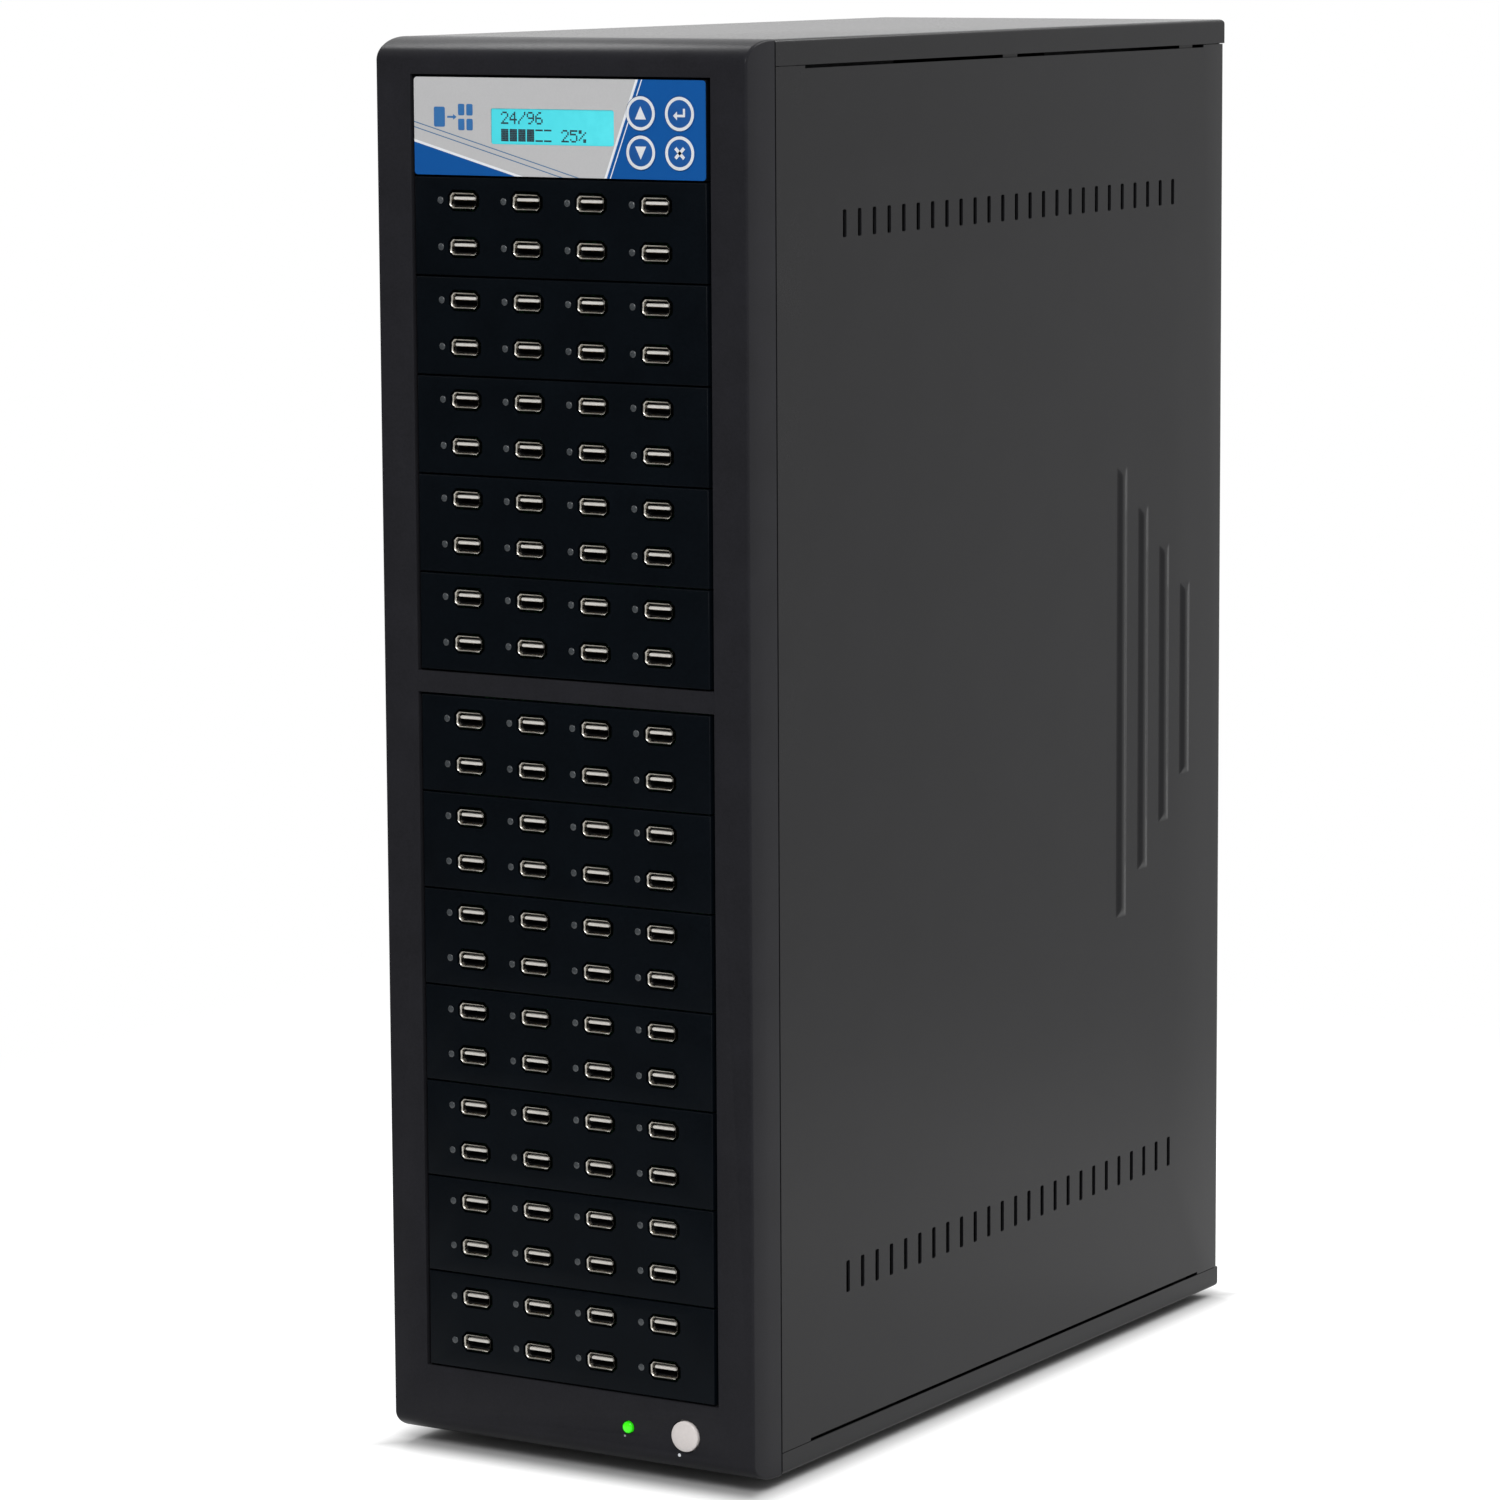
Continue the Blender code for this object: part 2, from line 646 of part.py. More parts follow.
def bay_rails(shade, root):
    """The cage walls that hold the modules, each with the flange that the bezel sits on."""
    inner = PANEL_WIDTH / 2 + SEAT_GAP
    outer = inner + SHEET
    floor = SHEET + SEAT_GAP
    ceiling = TOWER_HEIGHT - floor
    opening_top = TOWER_HEIGHT - TOP_STRIP
    outline = (
        (FRAME_FRONT, floor),
        (RAIL_DEPTH, floor),
        (RAIL_DEPTH, ceiling),
        (FRAME_FRONT, ceiling),
        (FRAME_FRONT, opening_top),
        (RAIL_SETBACK, opening_top),
        (RAIL_SETBACK, BOTTOM_STRIP),
        (FRAME_FRONT, BOTTOM_STRIP),
    )
    right = make("bay_rail_right", along_x(outline, inner, outer))
    edge = TOWER_WIDTH / 2 - SHEET - SEAT_GAP
    weld(right, box((outer - WELD_DEPTH, FRAME_FRONT, floor), (edge, FRAME_FRONT + SHEET, ceiling)))
    left = mirrored(right)
    finish(right, "bay_rail_right", shade, root)
    finish(left, "bay_rail_left", shade, root)


def case_tray(name, lip):
    """A sheet with its two sides and its rear folded up, open towards the bezel."""
    half = TOWER_WIDTH / 2
    piece = make(name, box((-half, CASE_FRONT, 0), (half, TOWER_DEPTH, lip)))
    low_edges = both_near(2, 0)
    front = both_near(1, CASE_FRONT)
    round_edges(piece, FOLD_ROUND, FOLD_STEPS, lambda a, b: low_edges(a, b) and not front(a, b))
    inner = half - SHEET
    low = (-inner, CASE_FRONT - CUT_OVERRUN, SHEET)
    high = (inner, TOWER_DEPTH - SHEET, lip + CUT_OVERRUN)
    return cut(piece, box(low, high))


def case_trays(shade, root):
    base = case_tray("base_pan", BASE_LIP)
    finish(base, "base_pan", shade, root)
    top = case_tray("top_cover", TOP_LIP)
    top.data.transform(Matrix.Rotation(math.pi, 4, "Y"))
    top.data.transform(Matrix.Translation((0, 0, TOWER_HEIGHT)))
    finish(top, "top_cover", shade, root)


def fan_slots(x, z, near, far):
    """Level slots across a fan's bore, each as long as the bore is wide there."""
    pitch = 2 * FAN_BORE_RADIUS / GRILLE_SLOTS
    width = pitch * GRILLE_SLOT_SHARE
    slots = []
    for i in range(GRILLE_SLOTS):
        rise = (i - (GRILLE_SLOTS - 1) / 2) * pitch
        reach = math.sqrt(FAN_BORE_RADIUS**2 - (abs(rise) + width / 2) ** 2)
        slots.append([rectangle((2 * reach, width), y, (x, z + rise)) for y in (near, far)])
    return slots


def supply_floor():
    return TOWER_HEIGHT - SHEET - SEAT_GAP - SUPPLY_SIZE[2]


def supply_middle():
    return supply_floor() + SUPPLY_SIZE[2] / 2


def thumbscrew_places():
    side_floor = BASE_LIP + SEAT_GAP
    side_ceiling = TOWER_HEIGHT - TOP_LIP - SEAT_GAP
    for share in THUMBSCREW_PLACE_SHARES:
        yield TOWER_WIDTH / 2 - THUMBSCREW_INSET, side_floor + share * (side_ceiling - side_floor)


def rear_panel(shade, root):
    half = TOWER_WIDTH / 2 - SHEET - SEAT_GAP
    floor = SHEET + SEAT_GAP
    back = REAR_PANEL_FRONT + SHEET
    near = REAR_PANEL_FRONT - CUT_OVERRUN
    far = back + CUT_OVERRUN
    piece = make("rear_panel", box((-half, REAR_PANEL_FRONT, floor), (half, back, TOWER_HEIGHT - floor)))
    window = (SUPPLY_SIZE[0] - 2 * SUPPLY_RIM[0], SUPPLY_SIZE[2] - 2 * SUPPLY_RIM[1])
    holes = [[rectangle(window, y, (0, supply_middle())) for y in (near, far)]]
    holes += fan_slots(0, CASE_FAN_HEIGHT, near, far)
    screw_hole = THUMBSCREW_SHANK_RADIUS + SEAT_GAP
    for x, z in thumbscrew_places():
        for side in (-x, x):
            holes.append(turned(((screw_hole, near), (screw_hole, far)), THUMBSCREW_STEPS, (side, z)))
    cut(piece, *holes)
    finish(piece, "rear_panel", shade, root)


def side_outline(floor, ceiling):
    """A side panel from the side: its long edges step back to leave a slit beside each lip."""
    slit_end = SIDE_REAR - SLIT_END_MARGIN
    return (
        (CASE_FRONT, floor),
        (SLIT_START, floor),
        (SLIT_START, floor + SIDE_SLIT),
        (slit_end, floor + SIDE_SLIT),
        (slit_end, floor),
        (SIDE_REAR, floor),
        (SIDE_REAR, ceiling),
        (slit_end, ceiling),
        (slit_end, ceiling - SIDE_SLIT),
        (SLIT_START, ceiling - SIDE_SLIT),
        (SLIT_START, ceiling),
        (CASE_FRONT, ceiling),
    )


def side_hooks(floor, ceiling):
    """Tongues on a side panel's inner face that run behind the lips of the base and the cover."""
    inner = TOWER_WIDTH / 2 - SHEET
    outer_x = inner - HOOK_CLEARANCE
    inner_x = outer_x - SHEET
    root_x = inner + SHEET / 2
    front_inset, rear_inset = HOOK_END_INSETS
    places = (CASE_FRONT + front_inset, (CASE_FRONT + SIDE_REAR) / 2, SIDE_REAR - rear_inset)
    forms = []
    for edge, up in ((ceiling, 1), (floor, -1)):
        start = edge - up * (SIDE_SLIT + HOOK_DROP + HOOK_ROOT)
        step = edge - up * (SIDE_SLIT + HOOK_DROP)
        tip = edge + up * HOOK_REACH
        outline = (
            (root_x, start),
            (root_x, step),
            (outer_x, step),
            (outer_x, tip),
            (inner_x, tip),
            (inner_x, start),
        )
        for y in places:
            forms.append(along_y(outline, y - HOOK_LENGTH / 2, y + HOOK_LENGTH / 2))
    return forms


def side_vents():
    """The two rows of upright vents."""
    outer = TOWER_WIDTH / 2
    near = outer - SHEET - CUT_OVERRUN
    far = outer + CUT_OVERRUN
    rows = (
        (BOTTOM_VENT_RISE, BOTTOM_VENT_HEIGHT),
        (TOWER_HEIGHT - TOP_VENT_DROP, TOP_VENT_HEIGHT),
    )
    for z, height in rows:
        for i in range(VENT_COUNT):
            y = VENT_FIRST + i * VENT_PITCH
            low = (near, y - VENT_WIDTH / 2, z - height / 2)
            high = (far, y + VENT_WIDTH / 2, z + height / 2)
            yield box(low, high)


def side_ribs():
    """Raised ribs, the longest in front."""
    outer = TOWER_WIDTH / 2
    last = TOWER_DEPTH - RIB_LAST_MARGIN
    slope = (RIB_WIDTH - RIB_CREST) / 2
    for i in range(RIB_COUNT):
        y = last - (RIB_COUNT - 1 - i) * RIB_PITCH
        half_z = (RIB_LONGEST - i * RIB_STEP) / 2
        rings = []
        for x, half_y, reach in (
            (outer - SHEET / 2, RIB_WIDTH / 2, half_z),
            (outer, RIB_WIDTH / 2, half_z),
            (outer + RIB_RELIEF, RIB_CREST / 2, half_z - slope),
        ):
            corners = ((-half_y, -reach), (half_y, -reach), (half_y, reach), (-half_y, reach))
            rings.append([(x, y + dy, RIB_CENTRE + dz) for dy, dz in corners])
        yield rings


def side_panels(shade, root):
    floor = BASE_LIP + SEAT_GAP
    ceiling = TOWER_HEIGHT - TOP_LIP - SEAT_GAP
    outer = TOWER_WIDTH / 2
    inner = outer - SHEET
    right = make("side_panel_right", along_x(side_outline(floor, ceiling), inner, outer))
    weld(right, *side_hooks(floor, ceiling))
    flange_low = (outer - REAR_FLANGE, SIDE_REAR - SHEET, floor)
    weld(right, box(flange_low, (inner + WELD_DEPTH, SIDE_REAR, ceiling)))
    weld(right, *side_ribs())
    holes = list(side_vents())
    hole = THUMBSCREW_SHANK_RADIUS + SEAT_GAP
    near = SIDE_REAR - SHEET - CUT_OVERRUN
    far = SIDE_REAR + CUT_OVERRUN
    holes += [turned(((hole, near), (hole, far)), THUMBSCREW_STEPS, place) for place in thumbscrew_places()]
    cut(right, *holes)
    left = mirrored(right)
    middle = (floor + ceiling) / 2
    finish(right, "side_panel_right", shade, root, (inner, CASE_FRONT, middle), RIB_SHARP_ANGLE)
    finish(left, "side_panel_left", shade, root, (-inner, CASE_FRONT, middle), RIB_SHARP_ANGLE)


def thumbscrews(shade, root):
    """Captive screws through the side panels' rear flanges; each one's origin is on its axis."""
    head = SIDE_REAR + SEAT_GAP
    profile = (
        (THUMBSCREW_SHANK_RADIUS, -THUMBSCREW_SHANK),
        (THUMBSCREW_SHANK_RADIUS, 0),
        (THUMBSCREW_RADIUS - THUMBSCREW_EDGE, 0),
        (THUMBSCREW_RADIUS, THUMBSCREW_EDGE),
        (THUMBSCREW_RADIUS, THUMBSCREW_HEAD - THUMBSCREW_EDGE),
        (THUMBSCREW_RADIUS - THUMBSCREW_EDGE, THUMBSCREW_HEAD),
    )
    first = None
    for level, (x, z) in zip(("lower", "upper"), thumbscrew_places()):
        for side, sign in (("right", 1), ("left", -1)):
            name = f"thumbscrew_{side}_{level}"
            place = Vector((sign * x, head, z))
            if first is None:
                first = finish(make("thumbscrew", turned(profile, THUMBSCREW_STEPS)), name, shade, root)
                first.location = place
            else:
                repeat(name, first, root, place)


def feet(shade, root):
    """Four rubber feet under the base pan."""
    steps = range(FOOT_STEPS)
    rings = []
    for radius, z in ((FOOT_RADIUS - FOOT_TAPER, -FOOT_HEIGHT), (FOOT_RADIUS, -SEAT_GAP)):
        turns = (2 * math.pi * (i + 0.5) / FOOT_STEPS for i in steps)
        rings.append([(radius * math.cos(t), radius * math.sin(t), z) for t in turns])
    first = None
    x = TOWER_WIDTH / 2 - FOOT_SIDE_INSET
    for end, y in (("front", FOOT_END_INSET), ("rear", TOWER_DEPTH - FOOT_END_INSET)):
        for side, sign in (("right", 1), ("left", -1)):
            name = f"foot_{end}_{side}"
            if first is None:
                first = finish(make("foot", rings), name, shade, root)
                first.location = (sign * x, y, 0)
            else:
                repeat(name, first, root, (sign * x, y, 0))


def supply_case(shade, root):
    """The power supply's housing, with its fan slots, inlet hole and lead hole."""
    half = SUPPLY_SIZE[0] / 2
    floor = supply_floor()
    top = floor + SUPPLY_SIZE[2]
    front = REAR_SEAT - SUPPLY_SIZE[1]
    piece = make("supply_case", box((-half, front, floor), (half, REAR_SEAT, top)))
    inner_low = (SHEET - half, front + SHEET, floor + SHEET)
    hollow = box(inner_low, (half - SHEET, REAR_SEAT - SHEET, top - SHEET))
    cut(piece, hollow)
    middle = (0, supply_middle())
    lead_depths = (front - CUT_OVERRUN, front + SHEET + CUT_OVERRUN)
    holes = [[rectangle(SUPPLY_LEAD_HOLE, y, middle) for y in lead_depths]]
    near = REAR_SEAT - SHEET - CUT_OVERRUN
    far = REAR_SEAT + CUT_OVERRUN
    holes += fan_slots(SUPPLY_FAN_X, supply_middle(), near, far)
    body = grown(INLET_FLANGE, SEAT_GAP - INLET_RIM)
    holes.append([rectangle(body, y, (INLET_X, supply_middle())) for y in (near, far)])
    cut(piece, *holes)
    finish(piece, "supply_case", shade, root)


def inlet_face():
    return REAR_SEAT + SEAT_GAP + INLET_FLANGE_DEPTH


def inlet_centre():
    """The middle of the mains inlet's cavity."""
    low = supply_middle() - INLET_FLANGE[1] / 2
    return INLET_X, low + INLET_CAVITY_RISE + INLET_CAVITY[1] / 2 + INLET_RIM


def rocker_centre():
    high = supply_middle() + INLET_FLANGE[1] / 2
    return INLET_X, high - ROCKER_DROP - ROCKER_SIZE[1] / 2 - INLET_RIM


def power_inlet(shade, root):
    """The mains inlet with its three pins, and the well of the rocker above it, in one moulding."""
    face = inlet_face()
    centre = (INLET_X, supply_middle())
    flange_back = face - INLET_FLANGE_DEPTH
    piece = make("power_inlet", [rectangle(INLET_FLANGE, y, centre) for y in (flange_back, face)])
    body = grown(INLET_FLANGE, -INLET_RIM)
    body_depths = (flange_back - INLET_BODY_DEPTH, flange_back + WELD_DEPTH)
    weld(piece, [rectangle(body, y, centre) for y in body_depths])
    x, z = inlet_centre()
    half_x = INLET_CAVITY[0] / 2
    half_z = INLET_CAVITY[1] / 2
    outline = (
        (x - half_x, z - half_z),
        (x + half_x, z - half_z),
        (x + half_x, z + half_z - INLET_CORNER),
        (x + half_x - INLET_CORNER, z + half_z),
        (x - half_x + INLET_CORNER, z + half_z),
        (x - half_x, z + half_z - INLET_CORNER),
    )
    floor = face - INLET_CAVITY_DEPTH
    well = (ROCKER_SIZE[0] + 2 * SEAT_GAP, ROCKER_SIZE[1] + 2 * ROCKER_WELL_MARGIN)
    well_depths = (face - ROCKER_WELL_DEPTH, face + CUT_OVERRUN)
    rocker_well = [rectangle(well, y, rocker_centre()) for y in well_depths]
    cut(piece, along_y(outline, floor, face + CUT_OVERRUN), rocker_well)
    pins = []
    for dx, dz in ((-PIN_SPREAD, -PIN_OFFSET), (0, PIN_OFFSET), (PIN_SPREAD, -PIN_OFFSET)):
        pin_depths = (floor - WELD_DEPTH, floor + PIN_LENGTH)
        pins.append([rectangle(PIN_SIZE, y, (x + dx, z + dz)) for y in pin_depths])
    weld(piece, *pins)
    finish(piece, "power_inlet", shade, root)


def rocker_switch(shade, root):
    """The rocker, tipped towards its lower end; its origin is on its pivot."""
    half = ROCKER_SIZE[1] / 2
    outline = (
        (ROCKER_CREST, 0),
        (ROCKER_END, half),
        (0, half),
        (-ROCKER_BELLY, 0),
        (0, -half),
        (ROCKER_END, -half),
    )
    cos = math.cos(ROCKER_TILT)
    sin = math.sin(ROCKER_TILT)
    tipped = [(y * cos - z * sin, y * sin + z * cos) for y, z in outline]
    half_x = ROCKER_SIZE[0] / 2
    piece = finish(make("rocker_switch", along_x(tipped, -half_x, half_x)), "rocker_switch", shade, root)
    x, z = rocker_centre()
    piece.location = (x, inlet_face() - ROCKER_PIVOT_DEPTH, z)


def fan_frame():
    """A square fan housing, with its hub seat on four struts at the rear; its rear is at y = 0."""
    half = FAN_SIZE / 2
    short = half - FAN_CORNER
    outline = (
        (-short, -half),
        (short, -half),
        (half, -short),
        (half, short),
        (short, half),
        (-short, half),
        (-half, short),
        (-half, -short),
    )
    piece = make("fan_frame", along_y(outline, -FAN_DEPTH, 0))
    bore = ((FAN_BORE_RADIUS, -FAN_DEPTH - CUT_OVERRUN), (FAN_BORE_RADIUS, CUT_OVERRUN))
    cut(piece, turned(bore, FAN_STEPS))
    reach = 2 * FAN_BORE_RADIUS + 2 * WELD_DEPTH
    depths = (-FAN_STRUT_DEPTH, -SEAT_GAP)
    weld(piece, [rectangle((FAN_STRUT, reach), y) for y in depths])
    weld(piece, [rectangle((reach, FAN_STRUT), y) for y in depths])
    seat = ((FAN_HUB_RADIUS, -FAN_STRUT_DEPTH), (FAN_HUB_RADIUS, -SEAT_GAP))
    return weld(piece, turned(seat, FAN_HUB_STEPS))


def fan_rotor():
    """A hub with seven set blades, turning about y just in front of its seat."""
    rear = -FAN_STRUT_DEPTH - SEAT_GAP
    front = FAN_FRONT_GAP - FAN_DEPTH
    piece = make("fan_rotor", turned(((FAN_HUB_RADIUS, front), (FAN_HUB_RADIUS, rear)), FAN_HUB_STEPS))
    middle = (front + rear) / 2
    tip = FAN_BORE_RADIUS - FAN_BLADE_GAP
    blades = []
    for i in range(FAN_BLADES):
        turn = 2 * math.pi * i / FAN_BLADES
        outward = Vector((math.cos(turn), 0, math.sin(turn)))
        across = Vector((-math.sin(turn), 0, math.cos(turn)))
        chord = across * math.cos(FAN_BLADE_PITCH) + Vector((0, math.sin(FAN_BLADE_PITCH), 0))
        normal = outward.cross(chord).normalized()
        along = chord * (FAN_BLADE_CHORD / 2)
        thick = normal * (FAN_BLADE_THICKNESS / 2)
        rings = []
        for radius in (FAN_HUB_RADIUS * math.cos(math.pi / FAN_HUB_STEPS) - FAN_BLADE_GAP, tip):
            centre = outward * radius + Vector((0, middle, 0))
            near = centre - thick
            far = centre + thick
            rings.append([near - along, near + along, far + along, far - along])
        blades.append(rings)
    return weld(piece, *blades)


def fans(frame_shade, rotor_shade, root):
    """One fan behind the rear panel's grille and one in the power supply."""
    frame = finish(fan_frame(), "case_fan_frame", frame_shade, root)
    rotor = finish(fan_rotor(), "case_fan_rotor", rotor_shade, root)
    case_place = Vector((0, REAR_SEAT, CASE_FAN_HEIGHT))
    supply_place = Vector((SUPPLY_FAN_X, REAR_SEAT - SHEET - SEAT_GAP, supply_middle()))
    frame.location = case_place
    rotor.location = case_place
    repeat("supply_fan_frame", frame, root, supply_place)
    repeat("supply_fan_rotor", rotor, root, supply_place)


def main():
    clear_scene()
    root = bpy.data.objects.new("usb_duplicator", None)
    bpy.context.collection.objects.link(root)
    root.location = (0, FACE_Y, FOOT_HEIGHT)

    bezel = material("bezel_plastic", "2b2b2e", 0.45)
    faceplate = material("panel_plastic", "0c1116", 0.5)
    paint = material("case_paint", "404043", 0.5)
    zinc = material("zinc_steel", "8f9296", 0.4, 1.0)
    nickel = material("socket_nickel", "b9b4a8", 0.3, 1.0)
    green = material("board_green", "1d5a35", 0.5)
    overlay = material("control_overlay", "b9b9ba", 0.4)
    key = material("key_plastic", "0056a4", 0.4)
    display = material("display_glass", "55e0e8", 0.2)
    button = material("button_plastic", "dcd6d6", 0.2)
    lamp = material("lamp_green", "3df500", 0.2)
    rubber = material("foot_rubber", "151515", 0.9)
    screw = material("screw_nickel", "b4b4b0", 0.3, 1.0)
    black = material("fan_plastic", "141414", 0.5)
    inlet = material("inlet_plastic", "0e0e0f", 0.4)
    rocker = material("rocker_plastic", "1b1b1c", 0.25)

    front_bezel(bezel, root)
    port_modules(faceplate, nickel, root)
    control_panel(overlay, root)
    display_module(display, root)
    keys(key, root)
    control_board(green, root)
    power_button(button, root)
    power_lamp(lamp, root)
    switch_board(green, root)
    bay_rails(zinc, root)
    case_trays(paint, root)
    rear_panel(paint, root)
    side_panels(paint, root)
    thumbscrews(screw, root)
    feet(rubber, root)
    supply_case(zinc, root)
    power_inlet(inlet, root)
    rocker_switch(rocker, root)
    fans(black, black, root)


main()
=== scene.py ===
"""The looks of a tower that copies USB flash drives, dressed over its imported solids.

Metres, +Z up, the front faces -Y. The pieces are drawn as the solids are: counted back (y) from the bezel's
face and up (z) from the underside of the case, and sideways from the middle. SEAT moves them to their place.
"""

import math

import bmesh
import bpy
from mathutils import Matrix, Vector


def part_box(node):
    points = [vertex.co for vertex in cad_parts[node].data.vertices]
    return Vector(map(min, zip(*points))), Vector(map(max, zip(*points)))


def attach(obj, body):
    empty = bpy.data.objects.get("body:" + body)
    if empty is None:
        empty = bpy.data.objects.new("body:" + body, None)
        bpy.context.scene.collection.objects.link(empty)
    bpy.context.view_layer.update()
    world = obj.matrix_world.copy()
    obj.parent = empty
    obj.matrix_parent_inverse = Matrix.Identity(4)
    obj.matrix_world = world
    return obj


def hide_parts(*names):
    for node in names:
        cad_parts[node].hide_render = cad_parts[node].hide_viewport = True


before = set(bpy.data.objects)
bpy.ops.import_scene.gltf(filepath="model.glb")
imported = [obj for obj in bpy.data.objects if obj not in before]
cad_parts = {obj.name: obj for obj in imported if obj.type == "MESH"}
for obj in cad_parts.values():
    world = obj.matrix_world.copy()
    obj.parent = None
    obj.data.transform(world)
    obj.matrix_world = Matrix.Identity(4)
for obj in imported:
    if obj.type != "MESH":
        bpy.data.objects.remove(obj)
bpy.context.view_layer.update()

SEAT = Vector((0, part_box("front_bezel")[0].y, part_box("base_pan")[0].z))

# Fits and cuts
SEAT_GAP = 0.0003
CUT_OVERRUN = 0.002
SHEET = 0.001
# A print's height over its surface
PRINT = 0.00005

# Bays and the tower around them
BAYS = 13
BAY_OPENING_WIDTH = 0.149
BOTTOM_STRIP = 0.0324
TOP_STRIP = 0.0153
LOWER_OPENING = 0.295
UPPER_OPENING = 0.253
TOWER_WIDTH = 0.184
TOWER_HEIGHT = 0.605
TOWER_DEPTH = 0.426

# Front bezel
BEZEL_DEPTH = 0.0223
BEZEL_FACE = 0.003
BEZEL_WALL = 0.0025
BEZEL_ROLL_DEPTH = 0.02
BEZEL_ROLL_HEIGHT = 0.0095
BEZEL_EDGE_ROUND = 0.0012
OPENING_ROUND = 0.0004

# Bay modules
PANEL_WIDTH = 0.1452
PANEL_HEIGHT = 0.0413
PANEL_FACE = 0.0024
PANEL_CHEEK = 0.0015
PANEL_BACK = 0.0012
PANEL_ROUND = 0.0005
MODULE_DEPTH = 0.0179
BOARD_FRONT = 0.0148
BOARD_THICKNESS = 0.0016
BOARD_HALF_HEIGHT = PANEL_HEIGHT / 2 - 0.0015
CHIP_SIZE = (0.008, 0.001, 0.005)
CHIP_PLACES = (-0.048, -0.016, 0.016, 0.048)

# Sockets and their lamps
SOCKET_COLUMNS = 4
SOCKET_ROWS = 2
SOCKET_COLUMN_PITCH = 0.0319
SOCKET_ROW_PITCH = 0.0196
SOCKET_FIRST_ROW = 0.01195
SOCKET_MIDDLE = SOCKET_FIRST_ROW + SOCKET_ROW_PITCH / 2
SOCKET_HOLE = (0.0161, 0.0091)
SOCKET_HOLE_CORNER = 0.0024
SHELL_OUTER = (0.0129, 0.0058)
SHELL_INNER = (0.0119, 0.005)
# A black sleeve inside each shell, which stands in for the shade in the socket: painted shade
SHADE_SLEEVE_OUTER = (0.0118, 0.0049)
SHADE_SLEEVE_INNER = (0.0114, 0.0045)
TONGUE_SIZE = (0.0109, 0.0013)
TONGUE_TIP = (0.0106, 0.0009)
TONGUE_HEIGHT = 0.0009
CONTACT_WIDTH = 0.001
CONTACT_THICKNESS = 0.0003
CONTACT_PLACES = (-0.0035, -0.001, 0.001, 0.0035)
LAMP_OFFSET = 0.0117
LAMP_RADIUS = 0.0017
LAMP_LENS_RADIUS = 0.0015
LAMP_PROUD = 0.0004

# Control panel
WINDOW_SIZE = (0.062, 0.0157)
WINDOW_CENTRE = (-0.00285, 0.0209)
OVERLAY_FILM = 0.0003
KEY_RADIUS = 0.0073
KEY_PROUD = 0.0003
KEY_DEPTH = 0.0034
KEY_STEM_RADIUS = 0.002
KEY_STEM_END = 0.007
KEY_COLUMNS = (0.041, 0.06)
KEY_ROWS = (0.0112, 0.0273)
KEY_RING_STROKE = 0.0013

# Display: depths behind the faceplate's front, and its dots
GLASS_GAP = 0.0006
GLASS_FRONT = 0.0004
GLASS_BACK = 0.0026
DISPLAY_FRAME_FRONT = 0.0027
DISPLAY_CARD_FRONT = 0.0087
DISPLAY_CARD_BACK = 0.0103
DISPLAY_FRAME_SIZE = (0.072, 0.025)
DISPLAY_CARD_SIZE = (0.074, 0.032)
DOT_PITCH = 0.00074
DOT_SHARE = 0.94
LETTER_PITCH = 0.0043
FIRST_LETTER = 0.0056
LINE_OFFSET = 0.0036

# Power button and lamp
BUTTON_CENTRE = (0.058, 0.0179)
BUTTON_RADIUS = 0.0066
BUTTON_CLEARANCE = 0.0005
POWER_LAMP_CENTRE = (0.0292, 0.0181)
POWER_LAMP_RADIUS = 0.0025
POWER_LAMP_DEPTH = 0.0142

# Steel case
CASE_FRONT = 0.0232
TOP_LIP = 0.011
BASE_LIP = 0.0096
FOLD_ROUND = 0.002
SIDE_SLIT = 0.0012
SLIT_START = 0.0465
SIDE_REAR = 0.4248
SLIT_END = SIDE_REAR - 0.02
REAR_FLANGE = 0.0155
SHEET_EDGE_ROUND = 0.0012
HOOK_WIDTH = 0.013
HOOK_ROOT = 0.008
HOOK_STEP = 0.003
HOOK_REACH = 0.005
FIRST_HOOK = 0.0125
LAST_HOOK = 0.034
REAR_PANEL_FRONT = SIDE_REAR - SHEET - SEAT_GAP - SHEET
REAR_SEAT = REAR_PANEL_FRONT - SEAT_GAP

# Vents and ribs of a side panel
VENT_COUNT = 25
VENT_PITCH = 0.01235
VENT_WIDTH = 0.003
VENT_ROUND = 0.0008
VENT_FIRST = 0.0781
TOP_VENT = (0.5271, 0.0117)
BOTTOM_VENT = (0.0755, 0.0139)
RIB_COUNT = 4
RIB_PITCH = 0.0208
RIB_LAST = TOWER_DEPTH - 0.0375
RIB_LONGEST = 0.209
RIB_STEP = 0.0393
RIB_WIDTH = 0.01
RIB_RELIEF = 0.001
RIB_CENTRE = 0.2992

# Thumbscrews
THUMBSCREW_INSET = 0.0098
THUMBSCREW_RADIUS = 0.005
THUMBSCREW_HEAD = 0.006
THUMBSCREW_SHANK_RADIUS = 0.0016
THUMBSCREW_SHANK = 0.007

# Power supply and fans
SUPPLY_SIZE = (0.15, 0.14, 0.086)
SUPPLY_FLOOR = TOWER_HEIGHT - SHEET - SEAT_GAP - SUPPLY_SIZE[2]
SUPPLY_MIDDLE = SUPPLY_FLOOR + SUPPLY_SIZE[2] / 2
SUPPLY_RIM = (0.006, 0.0035)
CABLE_HOLE = (0.06, 0.03)
FAN_SIZE = 0.08
FAN_DEPTH = 0.025
FAN_BORE_RADIUS = 0.038
FAN_HUB_RADIUS = 0.016
FAN_SPOKE = 0.003
FAN_SCREW_REACH = 0.0357
FAN_SCREW_HOLE_RADIUS = 0.0019
SUPPLY_FAN_X = SHEET + 0.0045 + FAN_SIZE / 2 - SUPPLY_SIZE[0] / 2
CASE_FAN_HEIGHT = 0.4
CASE_SCREW_X = SUPPLY_SIZE[0] / 2 + 0.0055
CASE_SCREW_RISE = 0.03
GRILLE_SLOTS = 9
